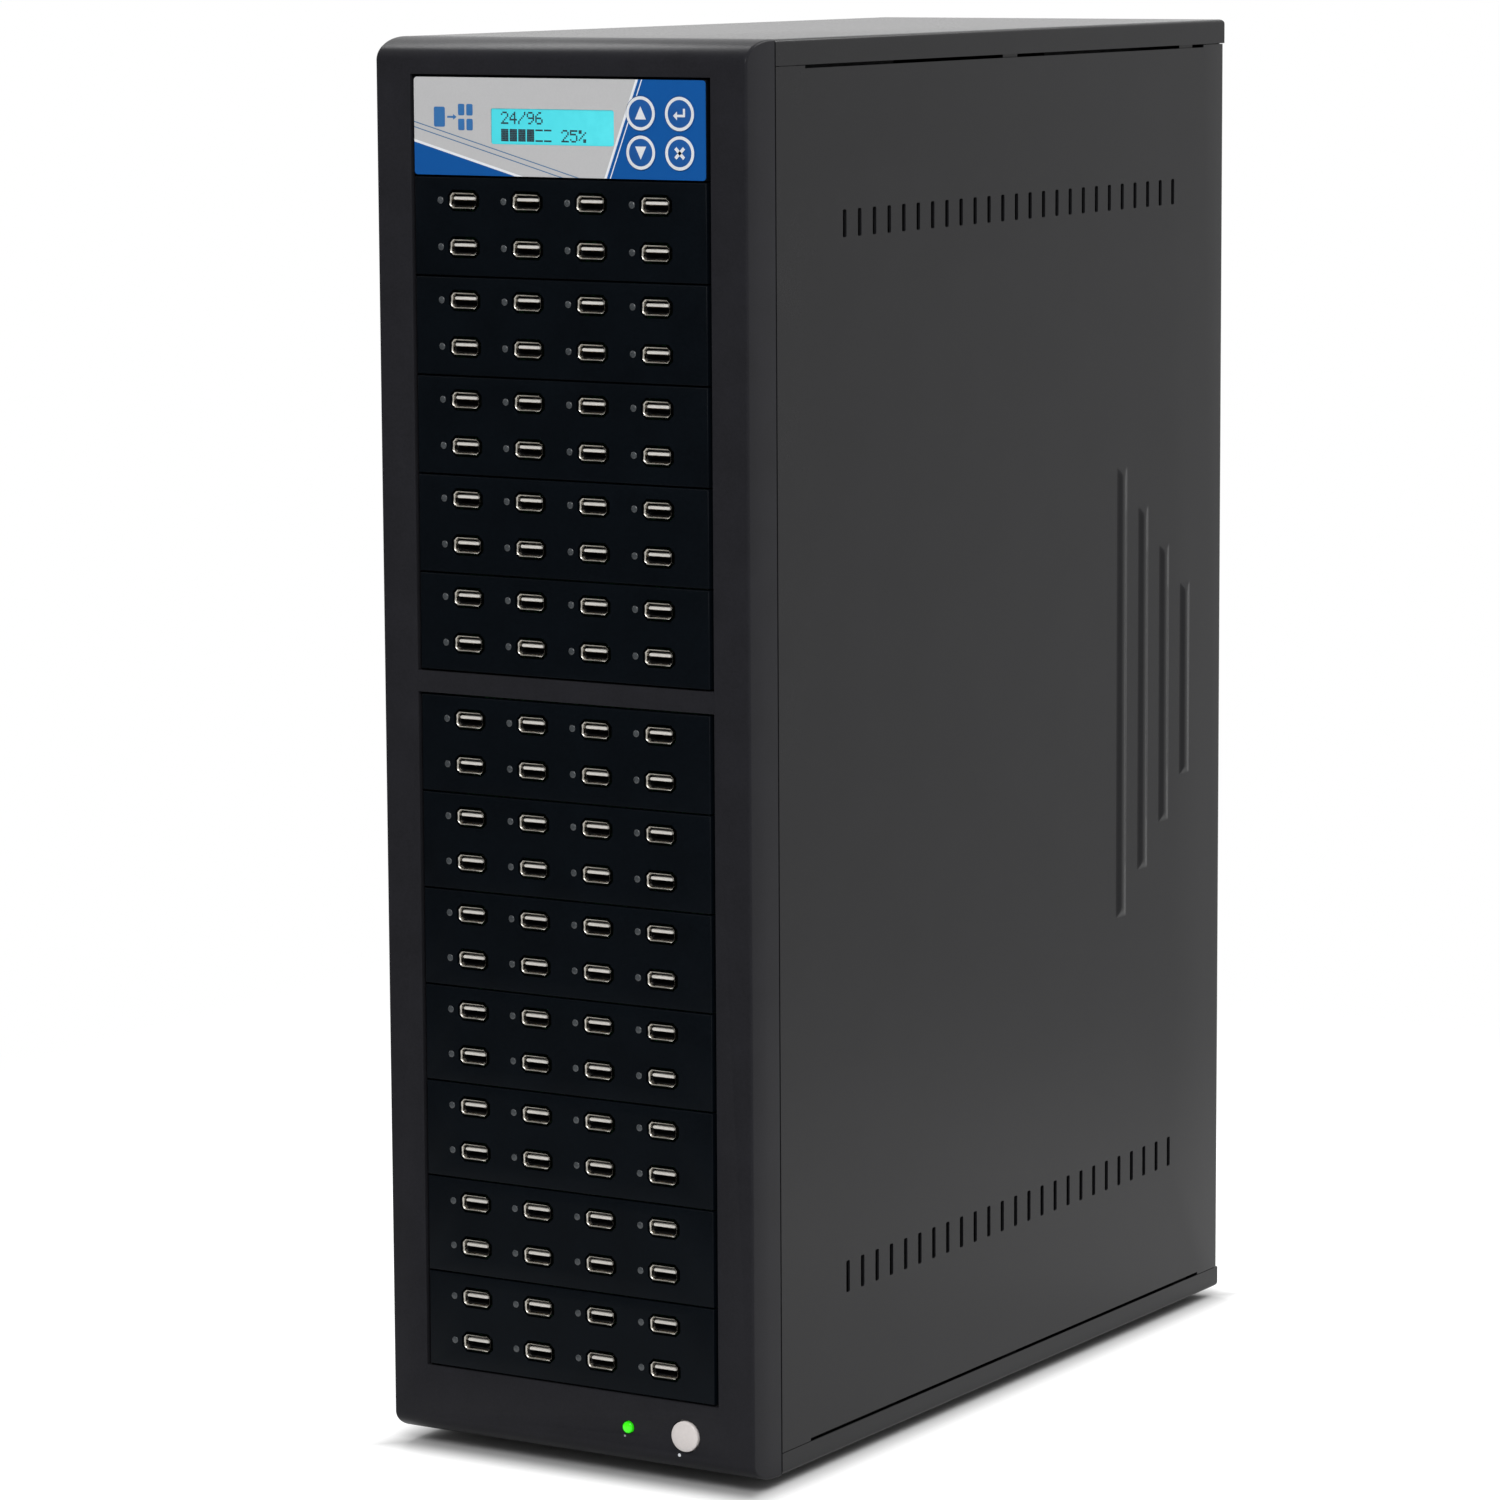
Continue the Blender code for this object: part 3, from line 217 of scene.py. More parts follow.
GRILLE_SLOT_SHARE = 0.62
GRILLE_SLOT_CORNER = 0.0012
BLADES = 7
BLADE_CHORD = 0.018
BLADE_HALF_THICKNESS = 0.0007
BLADE_BELLY = 0.0018

# Mains inlet and rocker
INLET_SIZE = (0.032, 0.058)
INLET_FLANGE = 0.0025
INLET_RIM = 0.0022
INLET_BODY = (0.027, 0.053)
INLET_X = SUPPLY_SIZE[0] / 2 - 0.0225
INLET_MARGIN = 0.007
PLUG_HALF_WIDTH = 0.0122
PLUG_HALF_HEIGHT = 0.0083
PLUG_CORNER = 0.004
PLUG_DEPTH = 0.0155
PIN_SIZE = (0.002, 0.0045)
PIN_LENGTH = 0.0102
PIN_PLACES = ((-0.007, -0.002), (0, 0.002), (0.007, -0.002))
ROCKER_WELL = (0.0114, 0.0172)
ROCKER_HALF_WIDTH = 0.0054
ROCKER_HALF_HEIGHT = 0.0077
ROCKER_TILT = math.radians(7)


# Shapes


def plate(size, y, centre=(0, 0), corner=0.0, steps=1):
    """A ring that faces along Y: a rectangle whose corners are cut or rounded."""
    half_x = size[0] / 2
    half_z = size[1] / 2
    if not corner:
        corners = ((-half_x, -half_z), (half_x, -half_z), (half_x, half_z), (-half_x, half_z))
        return [(centre[0] + x, y, centre[1] + z) for x, z in corners]
    ring = []
    for side, rise, start in ((1, 1, 0), (-1, 1, 90), (-1, -1, 180), (1, -1, 270)):
        for i in range(steps + 1):
            turn = math.radians(start + 90 * i / steps)
            x = side * (half_x - corner) + corner * math.cos(turn)
            z = rise * (half_z - corner) + corner * math.sin(turn)
            ring.append((centre[0] + x, y, centre[1] + z))
    return ring


def circle(radius, y, steps, centre=(0, 0)):
    turns = (2 * math.pi * (i + 0.5) / steps for i in range(steps))
    return [(centre[0] + radius * math.cos(t), y, centre[1] + radius * math.sin(t)) for t in turns]


def turned(profile, steps, centre=(0, 0)):
    """The rings of a shape turned about Y, from pairs of radius and y."""
    return [circle(radius, y, steps, centre) for radius, y in profile]


def rod(radius, depths, steps, centre=(0, 0)):
    """A round bar along Y, between two depths."""
    return [circle(radius, y, steps, centre) for y in depths]


def slab(size, depths, centre=(0, 0), corner=0.0, steps=1):
    """A plate between two depths."""
    return [plate(size, y, centre, corner, steps) for y in depths]


def block(low, high):
    """A box between two corners."""
    (x0, y0, z0), (x1, y1, z1) = low, high
    return [[(x0, y, z0), (x1, y, z0), (x1, y, z1), (x0, y, z1)] for y in (y0, y1)]


def along_x(outline, start, end):
    return [[(x, y, z) for y, z in outline] for x in (start, end)]


def along_y(outline, start, end):
    return [[(x, y, z) for x, z in outline] for y in (start, end)]


def new_object(data, name="piece"):
    piece = bpy.data.objects.new(name, data)
    bpy.context.collection.objects.link(piece)
    return piece


def drop(*pieces):
    """Deletes what has served its turn."""
    for piece in pieces:
        bpy.data.objects.remove(piece, do_unlink=True)


def mesh_of(shape):
    """The mesh of a drawn shape, which is used up."""
    mesh = bpy.data.meshes.new("piece")
    shape.to_mesh(mesh)
    shape.free()
    return mesh


def make(*forms):
    """One object from lofted forms: each is a list of rings with as many points, closed at both ends."""
    shape = bmesh.new()
    for rings in forms:
        loops = [[shape.verts.new(point) for point in ring] for ring in rings]
        for near, far in zip(loops, loops[1:]):
            for i, corner in enumerate(near):
                j = (i + 1) % len(near)
                shape.faces.new((corner, near[j], far[j], far[i]))
        shape.faces.new(loops[0][::-1])
        shape.faces.new(loops[-1])
    bmesh.ops.recalc_face_normals(shape, faces=shape.faces)
    return new_object(mesh_of(shape))


def points(places):
    """An object of loose points, for a node tree to put copies on."""
    mesh = bpy.data.meshes.new("points")
    mesh.from_pydata([tuple(place) for place in places], [], [])
    return new_object(mesh)


def plain_mesh(piece):
    """Turns a piece's modifiers into its mesh."""
    graph = bpy.context.evaluated_depsgraph_get()
    result = bpy.data.meshes.new_from_object(piece.evaluated_get(graph))
    piece.modifiers.clear()
    piece.data = result
    return piece


def combine(piece, operation, forms):
    tool = make(*forms)
    boolean = piece.modifiers.new(operation, "BOOLEAN")
    boolean.operation = operation
    boolean.solver = "EXACT"
    boolean.object = tool
    plain_mesh(piece)
    drop(tool)
    return piece


def cut(piece, *forms):
    return combine(piece, "DIFFERENCE", forms)


def weld(piece, *forms):
    return combine(piece, "UNION", forms)


def round_edges(piece, width, steps, chosen, fold=math.radians(30)):
    """Rounds the folded edges whose two ends are chosen."""
    shape = bmesh.new()
    shape.from_mesh(piece.data)
    edges = []
    for edge in shape.edges:
        if edge.is_manifold and edge.calc_face_angle(0) > fold and chosen(edge.verts[0].co, edge.verts[1].co):
            edges.append(edge)
    bmesh.ops.bevel(shape, geom=edges, offset=width, segments=steps, profile=0.5, affect="EDGES")
    shape.to_mesh(piece.data)
    shape.free()
    return piece


def both_near(axis, value):
    return lambda a, b: max(abs(a[axis] - value), abs(b[axis] - value)) < 0.5 * SEAT_GAP


def copied(piece):
    return new_object(piece.data.copy())


def mirrored(piece):
    twin = copied(piece)
    twin.data.transform(Matrix.Scale(-1, 4, Vector((1, 0, 0))))
    twin.data.flip_normals()
    return twin


def join(first, *others):
    """One object from several, without a Boolean."""
    shape = bmesh.new()
    for piece in (first, *others):
        shape.from_mesh(piece.data)
    first.data = mesh_of(shape)
    drop(*others)
    return first


def mount(piece, name, coat, body, stands_for=(), place=(0, 0, 0), sharp=35):
    """Puts a finished piece in its place, gives it its material, and hangs it on its body."""
    piece.name = name
    piece.data.name = name
    piece.data.transform(Matrix.Translation(SEAT + Vector(place)))
    piece.data.materials.clear()
    piece.data.materials.append(COATS[coat])
    piece.data.shade_smooth()
    piece.data.set_sharp_from_angle(angle=math.radians(sharp))
    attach(piece, body)
    if stands_for:
        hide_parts(*stands_for)
    return piece


# Node trees


def feed(node, values):
    """Fills a node's inputs, each with a number, an output or another node's first output."""
    for key, value in values.items():
        if isinstance(value, bpy.types.Node):
            value = value.outputs[0]
        if isinstance(value, bpy.types.NodeSocket):
            node.id_data.links.new(value, node.inputs[key])
        else:
            node.inputs[key].default_value = value
    return node


def add(tree, kind, values=None, **settings):
    """Adds a node with its settings, and fills its inputs."""
    node = tree.nodes.new(kind)
    for key, value in settings.items():
        setattr(node, key, value)
    return feed(node, values or {})


def new_tree(name, sizes):
    """An empty geometry tree with named inputs: pairs of name and kind of socket."""
    tree = bpy.data.node_groups.new(name, "GeometryNodeTree")
    tree.interface.new_socket("Geometry", in_out="INPUT", socket_type="NodeSocketGeometry")
    for label, kind in sizes:
        tree.interface.new_socket(label, in_out="INPUT", socket_type="NodeSocket" + kind)
    tree.interface.new_socket("Geometry", in_out="OUTPUT", socket_type="NodeSocketGeometry")
    return tree, tree.nodes.new("NodeGroupInput").outputs


def close_tree(tree, shape, coat):
    """Ends a tree: real geometry in one material."""
    real = add(tree, "GeometryNodeRealizeInstances", {"Geometry": shape})
    painted = add(tree, "GeometryNodeSetMaterial", {"Geometry": real, "Material": coat})
    add(tree, "NodeGroupOutput", {0: painted})


def grown(tree, base, coat, inputs):
    """Runs a tree on a base with the named inputs, uses up its template, and keeps the plain mesh."""
    inputs = {**inputs, "Coat": COATS[coat]}
    modifier = base.modifiers.new(tree.name, "NODES")
    modifier.node_group = tree
    for item in tree.interface.items_tree:
        if item.in_out == "INPUT" and item.name in inputs:
            modifier[item.identifier] = inputs[item.name]
    plain_mesh(base)
    drop(*[value for value in inputs.values() if isinstance(value, bpy.types.Object)])
    return base


def bank_tree():
    """Copies of a template in columns and rows, centred on each point of the base."""
    sizes = (
        ("Template", "Object"),
        ("Columns", "Int"),
        ("Rows", "Int"),
        ("Column Pitch", "Float"),
        ("Row Pitch", "Float"),
        ("Coat", "Material"),
    )
    tree, given = new_tree("bank of copies", sizes)
    lines = []
    for count, pitch, axis in (("Columns", "Column Pitch", "X"), ("Rows", "Row Pitch", "Z")):
        steps = add(tree, "ShaderNodeMath", {0: given[count], 1: 1.0}, operation="SUBTRACT")
        reach = add(tree, "ShaderNodeMath", {0: steps, 1: given[pitch]}, operation="MULTIPLY")
        first = add(tree, "ShaderNodeMath", {0: reach, 1: -0.5}, operation="MULTIPLY")
        start = add(tree, "ShaderNodeCombineXYZ", {axis: first})
        step = add(tree, "ShaderNodeCombineXYZ", {axis: given[pitch]})
        values = {"Count": given[count], "Start Location": start, "Offset": step}
        lines.append(add(tree, "GeometryNodeMeshLine", values, mode="OFFSET"))
    template = add(tree, "GeometryNodeObjectInfo", {"Object": given["Template"]})
    shape = template.outputs["Geometry"]
    for line in (*lines, given["Geometry"]):
        copies = add(tree, "GeometryNodeInstanceOnPoints", {"Points": line, "Instance": shape})
        shape = add(tree, "GeometryNodeRealizeInstances", {"Geometry": copies})
    close_tree(tree, shape, given["Coat"])
    return tree


def bank(template, places, coat, columns=1, rows=1, column_pitch=0.0, row_pitch=0.0):
    """Copies of a template at each place."""
    inputs = {
        "Template": template,
        "Columns": columns,
        "Rows": rows,
        "Column Pitch": column_pitch,
        "Row Pitch": row_pitch,
    }
    return grown(BANK, points(places), coat, inputs)


def ring_tree():
    """The base, with copies of a template turned in a ring about Y."""
    sizes = (("Template", "Object"), ("Count", "Int"), ("Coat", "Material"))
    tree, given = new_tree("ring of copies", sizes)
    line = add(tree, "GeometryNodeMeshLine", {"Count": given["Count"], "Offset": (0, 0, 0)}, mode="OFFSET")
    index = add(tree, "GeometryNodeInputIndex")
    part = add(tree, "ShaderNodeMath", {0: 2 * math.pi, 1: given["Count"]}, operation="DIVIDE")
    turn = add(tree, "ShaderNodeMath", {0: index, 1: part}, operation="MULTIPLY")
    angles = add(tree, "ShaderNodeCombineXYZ", {"Y": turn})
    rotation = add(tree, "FunctionNodeEulerToRotation", {0: angles})
    template = add(tree, "GeometryNodeObjectInfo", {"Object": given["Template"]})
    values = {"Points": line, "Instance": template.outputs["Geometry"], "Rotation": rotation}
    copies = add(tree, "GeometryNodeInstanceOnPoints", values)
    both = add(tree, "GeometryNodeJoinGeometry", {0: copies})
    feed(both, {0: given["Geometry"]})
    close_tree(tree, both, given["Coat"])
    return tree


def punch_tree():
    """The base sheet, less a row of slots; Round Reach, if set, keeps them inside a circle."""
    sizes = (
        ("Cutter", "Object"),
        ("Count", "Int"),
        ("Start", "Vector"),
        ("Step", "Vector"),
        ("Round Reach", "Float"),
        ("Slot Width", "Float"),
        ("Coat", "Material"),
    )
    tree, given = new_tree("row of slots", sizes)
    values = {"Count": given["Count"], "Start Location": given["Start"], "Offset": given["Step"]}
    line = add(tree, "GeometryNodeMeshLine", values, mode="OFFSET")
    steps = add(tree, "ShaderNodeMath", {0: given["Count"], 1: 1.0}, operation="SUBTRACT")
    middle = add(tree, "ShaderNodeMath", {0: steps, 1: 0.5}, operation="MULTIPLY")
    index = add(tree, "GeometryNodeInputIndex")
    away = add(tree, "ShaderNodeMath", {0: index, 1: middle}, operation="SUBTRACT")
    apart = add(tree, "ShaderNodeMath", {0: away}, operation="ABSOLUTE")
    pitch = add(tree, "ShaderNodeVectorMath", {0: given["Step"]}, operation="LENGTH")
    rise = add(tree, "ShaderNodeMath", {0: apart, 1: pitch.outputs["Value"]}, operation="MULTIPLY")
    half = add(tree, "ShaderNodeMath", {0: given["Slot Width"], 1: 0.5}, operation="MULTIPLY")
    edge = add(tree, "ShaderNodeMath", {0: rise, 1: half}, operation="ADD")
    reach = add(tree, "ShaderNodeMath", {0: given["Round Reach"], 1: 1e-6}, operation="MAXIMUM")
    share = add(tree, "ShaderNodeMath", {0: edge, 1: reach}, operation="DIVIDE")
    square = add(tree, "ShaderNodeMath", {0: share, 1: share}, operation="MULTIPLY")
    rest = add(tree, "ShaderNodeMath", {0: 1.0, 1: square}, operation="SUBTRACT")
    kept = add(tree, "ShaderNodeMath", {0: rest, 1: 0.0}, operation="MAXIMUM")
    root = add(tree, "ShaderNodeMath", {0: kept}, operation="SQRT")
    is_round = add(tree, "ShaderNodeMath", {0: given["Round Reach"], 1: 0.0}, operation="GREATER_THAN")
    stretch = add(tree, "ShaderNodeMix", {0: is_round, 2: 1.0, 3: root})
    scale = add(tree, "ShaderNodeCombineXYZ", {"X": stretch, "Y": 1.0, "Z": 1.0})
    cutter = add(tree, "GeometryNodeObjectInfo", {"Object": given["Cutter"]})
    values = {"Points": line, "Instance": cutter.outputs["Geometry"], "Scale": scale}
    copies = add(tree, "GeometryNodeInstanceOnPoints", values)
    tools = add(tree, "GeometryNodeRealizeInstances", {"Geometry": copies})
    values = {"Mesh 1": given["Geometry"], "Mesh 2": tools}
    sheet = add(tree, "GeometryNodeMeshBoolean", values, operation="DIFFERENCE", solver="EXACT")
    close_tree(tree, sheet, given["Coat"])
    return tree


def punched(piece, cutter, count, start, step, coat, round_reach=0.0, width=0.0):
    """Punches a row of slots in the shape of the cutter."""
    inputs = {
        "Cutter": cutter,
        "Count": count,
        "Start": start,
        "Step": step,
        "Round Reach": round_reach,
        "Slot Width": width,
    }
    return grown(PUNCH, piece, coat, inputs)


def rib_tree():
    """The base sheet with upright pressed ribs on it, each next one shorter at both ends."""
    sizes = (
        ("Count", "Int"),
        ("First", "Vector"),
        ("Pitch", "Float"),
        ("Longest", "Float"),
        ("Step", "Float"),
        ("Width", "Float"),
        ("Relief", "Float"),
        ("Coat", "Material"),
    )
    tree, given = new_tree("row of ribs", sizes)
    across = 16
    along = 64
    # The share of a rib's half width that its slope takes
    slope_share = 0.86
    offset = add(tree, "ShaderNodeCombineXYZ", {"Y": given["Pitch"]})
    values = {"Count": given["Count"], "Start Location": given["First"], "Offset": offset}
    line = add(tree, "GeometryNodeMeshLine", values, mode="OFFSET")
    # A closed bar, one unit wide (Y) and long (Z), whose top takes the pressed shape. Its cross
    # sections stand closer towards both ends, where the rib slopes down.
    values = {"Size": (2.0, 1.0, 1.0), "Vertices X": 2, "Vertices Y": across, "Vertices Z": along}
    bar = add(tree, "GeometryNodeMeshCube", values)
    place = add(tree, "ShaderNodeSeparateXYZ", {0: add(tree, "GeometryNodeInputPosition")})
    crowd = add(tree, "ShaderNodeMath", {0: place.outputs["Z"], 1: math.pi}, operation="MULTIPLY")
    swing = add(tree, "ShaderNodeMath", {0: crowd}, operation="SINE")
    z = add(tree, "ShaderNodeMath", {0: swing, 1: 0.5}, operation="MULTIPLY")
    values = {"X": place.outputs["X"], "Y": place.outputs["Y"], "Z": z}
    crowded = add(tree, "ShaderNodeCombineXYZ", values)
    bar = add(tree, "GeometryNodeSetPosition", {"Geometry": bar, "Position": crowded})
    index = add(tree, "GeometryNodeInputIndex")
    less = add(tree, "ShaderNodeMath", {0: index, 1: given["Step"]}, operation="MULTIPLY")
    long = add(tree, "ShaderNodeMath", {0: given["Longest"], 1: less}, operation="SUBTRACT")
    scale = add(tree, "ShaderNodeCombineXYZ", {"X": 1.0, "Y": given["Width"], "Z": long})
    values = {"Points": line, "Instance": bar, "Scale": scale}
    copies = add(tree, "GeometryNodeInstanceOnPoints", values)
    # Each point keeps its place in its own rib, and its rib's length
    lengths = add(tree, "GeometryNodeCaptureAttribute", domain="INSTANCE")
    lengths.capture_items.new("VECTOR", "Size")
    feed(lengths, {"Geometry": copies, "Size": add(tree, "GeometryNodeInputInstanceScale")})
    origin = add(tree, "GeometryNodeCaptureAttribute", domain="INSTANCE")
    origin.capture_items.new("VECTOR", "Middle")
    here = add(tree, "GeometryNodeInputPosition")
    feed(origin, {"Geometry": lengths.outputs["Geometry"], "Middle": here})
    real = add(tree, "GeometryNodeRealizeInstances", {"Geometry": origin.outputs["Geometry"]})
    values = {0: here, 1: origin.outputs["Middle"]}
    local = add(tree, "ShaderNodeVectorMath", values, operation="SUBTRACT")
    own = add(tree, "ShaderNodeSeparateXYZ", {0: local})
    size = add(tree, "ShaderNodeSeparateXYZ", {0: lengths.outputs["Size"]})
    end = add(tree, "ShaderNodeMath", {0: size.outputs["Z"], 1: 0.5}, operation="MULTIPLY")
    up = add(tree, "ShaderNodeMath", {0: own.outputs["Z"]}, operation="ABSOLUTE")
    inside = add(tree, "ShaderNodeMath", {0: end, 1: up}, operation="SUBTRACT")
    half = add(tree, "ShaderNodeMath", {0: given["Width"], 1: 0.5}, operation="MULTIPLY")
    over = add(tree, "ShaderNodeMath", {0: own.outputs["Y"]}, operation="ABSOLUTE")
    beside = add(tree, "ShaderNodeMath", {0: half, 1: over}, operation="SUBTRACT")
    nearest = add(tree, "ShaderNodeMath", {0: inside, 1: beside}, operation="MINIMUM")
    slope = add(tree, "ShaderNodeMath", {0: half, 1: slope_share}, operation="MULTIPLY")
    values = {"Value": nearest, "From Max": slope, "To Max": given["Relief"]}
    rise = add(tree, "ShaderNodeMapRange", values, interpolation_type="SMOOTHSTEP")
    is_top = add(tree, "ShaderNodeMath", {0: own.outputs["X"], 1: 0.0}, operation="GREATER_THAN")
    height = add(tree, "ShaderNodeMix", {0: is_top, 2: -SHEET / 2, 3: rise})
    low = add(tree, "ShaderNodeSeparateXYZ", {0: origin.outputs["Middle"]})
    x = add(tree, "ShaderNodeMath", {0: low.outputs["X"], 1: height}, operation="ADD")
    spot = add(tree, "ShaderNodeSeparateXYZ", {0: here})
    values = {"X": x, "Y": spot.outputs["Y"], "Z": spot.outputs["Z"]}
    pressed = add(tree, "ShaderNodeCombineXYZ", values)
    ribs = add(tree, "GeometryNodeSetPosition", {"Geometry": real, "Position": pressed})
    both = add(tree, "GeometryNodeJoinGeometry", {0: ribs})
    feed(both, {0: given["Geometry"]})
    close_tree(tree, both, given["Coat"])
    return tree


# Materials


def linear(code):
    """An sRGB hex colour as linear red, green, blue and alpha."""
    values = []
    for i in (0, 2, 4):
        value = int(code[i : i + 2], 16) / 255
        values.append(value / 12.92 if value <= 0.04045 else ((value + 0.055) / 1.055) ** 2.4)
    return (*values, 1.0)


def blank(name, **sockets):
    """A Principled material; gives the material, its tree, its shader and its Object coordinates."""
    material = bpy.data.materials.new(name)
    material.use_nodes = True
    tree = material.node_tree
    shader = feed(tree.nodes["Principled BSDF"], {key.replace("_", " "): sockets[key] for key in sockets})
    return material, tree, shader, add(tree, "ShaderNodeTexCoord").outputs["Object"]


def surface(name, tones, roughness, grain, depth, stretch=(1, 1, 1), **sockets):
    """A material whose tone, roughness and relief follow a grain of the given size, all in metres."""
    material, tree, shader, place = blank(name, **sockets)
    laid = add(tree, "ShaderNodeMapping", {"Vector": place, "Scale": stretch})
    fine = add(tree, "ShaderNodeTexNoise", {"Vector": laid, "Scale": 1 / grain, "Detail": 2.0})
    broad = add(tree, "ShaderNodeTexNoise", {"Vector": laid, "Scale": 0.04 / grain, "Detail": 3.0})
    both = add(tree, "ShaderNodeMath", {0: fine, 1: broad}, operation="ADD")
    share = add(tree, "ShaderNodeMapRange", {"Value": both, "From Min": 0.6, "From Max": 1.4})
    values = {0: share, 6: linear(tones[0]), 7: linear(tones[1])}
    tone = add(tree, "ShaderNodeMix", values, data_type="RGBA")
    values = {"Value": fine, "From Min": 0.3, "From Max": 0.7, "To Min": roughness[0], "To Max": roughness[1]}
    polish = add(tree, "ShaderNodeMapRange", values)
    bump = add(tree, "ShaderNodeBump", {"Height": fine, "Distance": depth, "Strength": 1.0})
    feed(shader, {"Base Color": tone.outputs[2], "Roughness": polish, "Normal": bump})
    return material


def moulded_abs_charcoal():
    # Injection-moulded ABS from a spark-eroded tool: a soft, slightly mottled black with a dull sheen.
    # The real texture is about 0.1 mm; it is drawn at 0.9 mm, so that it shows.
    tones = ("212124", "27272b")
    return surface("moulded_abs_charcoal", tones, (0.28, 0.36), 0.0009, 0.00001, Specular_IOR_Level=0.07)


def moulded_abs_blue_black():
    # The faceplates' ABS has a cooler, deeper black and a finer texture than the bezel's.
    tones = ("05090e", "080e14")
    return surface("moulded_abs_blue_black", tones, (0.4, 0.5), 0.0008, 0.00002, Specular_IOR_Level=0.08)


def powder_coat():
    # Powder coat on sheet steel: an even charcoal with a fine orange peel, real waves 1 to 2 mm apart.
    tones = ("18181a", "1d1d1f")
    return surface("powder_coated_steel", tones, (0.2, 0.27), 0.0013, 0.00001, Specular_IOR_Level=0.12)


def zinc_steel():
    # Hot-dip galvanised sheet: a gray metal with spangles, crystals about 8 mm across.
    material, tree, shader, place = blank("galvanised_steel", Metallic=1.0)
    cells = add(tree, "ShaderNodeTexVoronoi", {"Vector": place, "Scale": 1 / 0.008})
    values = {0: cells.outputs["Color"], 6: linear("85898d"), 7: linear("a3a6a9")}
    tone = add(tree, "ShaderNodeMix", values, data_type="RGBA")
    values = {"Value": cells.outputs["Color"], "To Min": 0.32, "To Max": 0.5}
    polish = add(tree, "ShaderNodeMapRange", values)
    feed(shader, {"Base Color": tone.outputs[2], "Roughness": polish})
    return material


def black_zinc():
    # Black-passivated zinc on the inner chassis: a dark gray metal with a cloudy film.
    return surface("black_passivated_zinc", ("2b2c2e", "3a3b3d"), (0.45, 0.6), 0.004, 0.000004, Metallic=1.0)


def nickel_plate():
    # Nickel plate on stamped steel: a warm bright metal, with fine die streaks along the draw.
    tones = ("aaa69d", "c6c2ba")
    streaks = (1, 0.15, 1)
    return surface("nickel_plate", tones, (0.16, 0.28), 0.0004, 0.000004, streaks, Metallic=1.0)


def gilt_contact():
    # Gold flashed over nickel on the sockets' contacts: a thin warm yellow.
    return surface("gold_flash", ("c79a48", "dcb463"), (0.25, 0.35), 0.0004, 0.000003, Metallic=1.0)


def tongue_nylon():
    # The socket's tongue is white nylon with a little glass fibre: dull, just off white.
    return surface("white_glass_nylon", ("c9c6c0", "dedbd5"), (0.4, 0.55), 0.0005, 0.00001)


def board_laminate():
    # Green solder mask over copper on glass laminate: tracks show as slightly lighter lines 1 mm apart.
    material, tree, shader, place = blank("solder_mask_green", Roughness=0.35)
    values = {"Vector": place, "Scale": 1 / 0.006, "Distortion": 1.5}
    tracks = add(tree, "ShaderNodeTexWave", values, wave_type="BANDS", bands_direction="DIAGONAL")
    values = {"Value": tracks.outputs[1], "From Min": 0.45, "From Max": 0.55}
    edge = add(tree, "ShaderNodeMapRange", values)
    values = {0: edge, 6: linear("12402a"), 7: linear("1d5a35")}
    tone = add(tree, "ShaderNodeMix", values, data_type="RGBA")
    bump = add(tree, "ShaderNodeBump", {"Height": edge, "Distance": 0.00004})
    feed(shader, {"Base Color": tone.outputs[2], "Normal": bump})
    return material


def lens_smoke():
    # Cast epoxy of an unlit lamp: a milky gray dot with a soft gloss.
    return surface("diffused_epoxy_gray", ("373b3e", "4a4e51"), (0.25, 0.35), 0.0006, 0.000004)


def lens_lit():
    # Green epoxy over a lit lamp: it glows from inside, most at its middle.
    material, tree, shader, place = blank("lit_green_epoxy", Roughness=0.25, Emission_Strength=0.85)
    spot = add(tree, "ShaderNodeSeparateXYZ", {0: place})
    flat = add(tree, "ShaderNodeCombineXYZ", {"X": spot.outputs["X"], "Z": spot.outputs["Z"]})
    middle = (POWER_LAMP_CENTRE[0], 0, POWER_LAMP_CENTRE[1] + SEAT.z)
    away = add(tree, "ShaderNodeVectorMath", {0: flat, 1: middle}, operation="DISTANCE")
    edge = POWER_LAMP_RADIUS
    values = {"Value": away.outputs["Value"], "From Min": edge / 2, "From Max": edge}
    rim = add(tree, "ShaderNodeMapRange", values, interpolation_type="SMOOTHSTEP")
    values = {0: rim, 6: linear("45ff0a"), 7: linear("1fb800")}
    glow = add(tree, "ShaderNodeMix", values, data_type="RGBA")
    grain = add(tree, "ShaderNodeTexNoise", {"Vector": place, "Scale": 1 / 0.0012})
    values = {0: grain, 6: linear("1c9a00"), 7: linear("2ab80c")}
    tone = add(tree, "ShaderNodeMix", values, data_type="RGBA")
    feed(shader, {"Base Color": tone.outputs[2], "Emission Color": glow.outputs[2]})
    return material


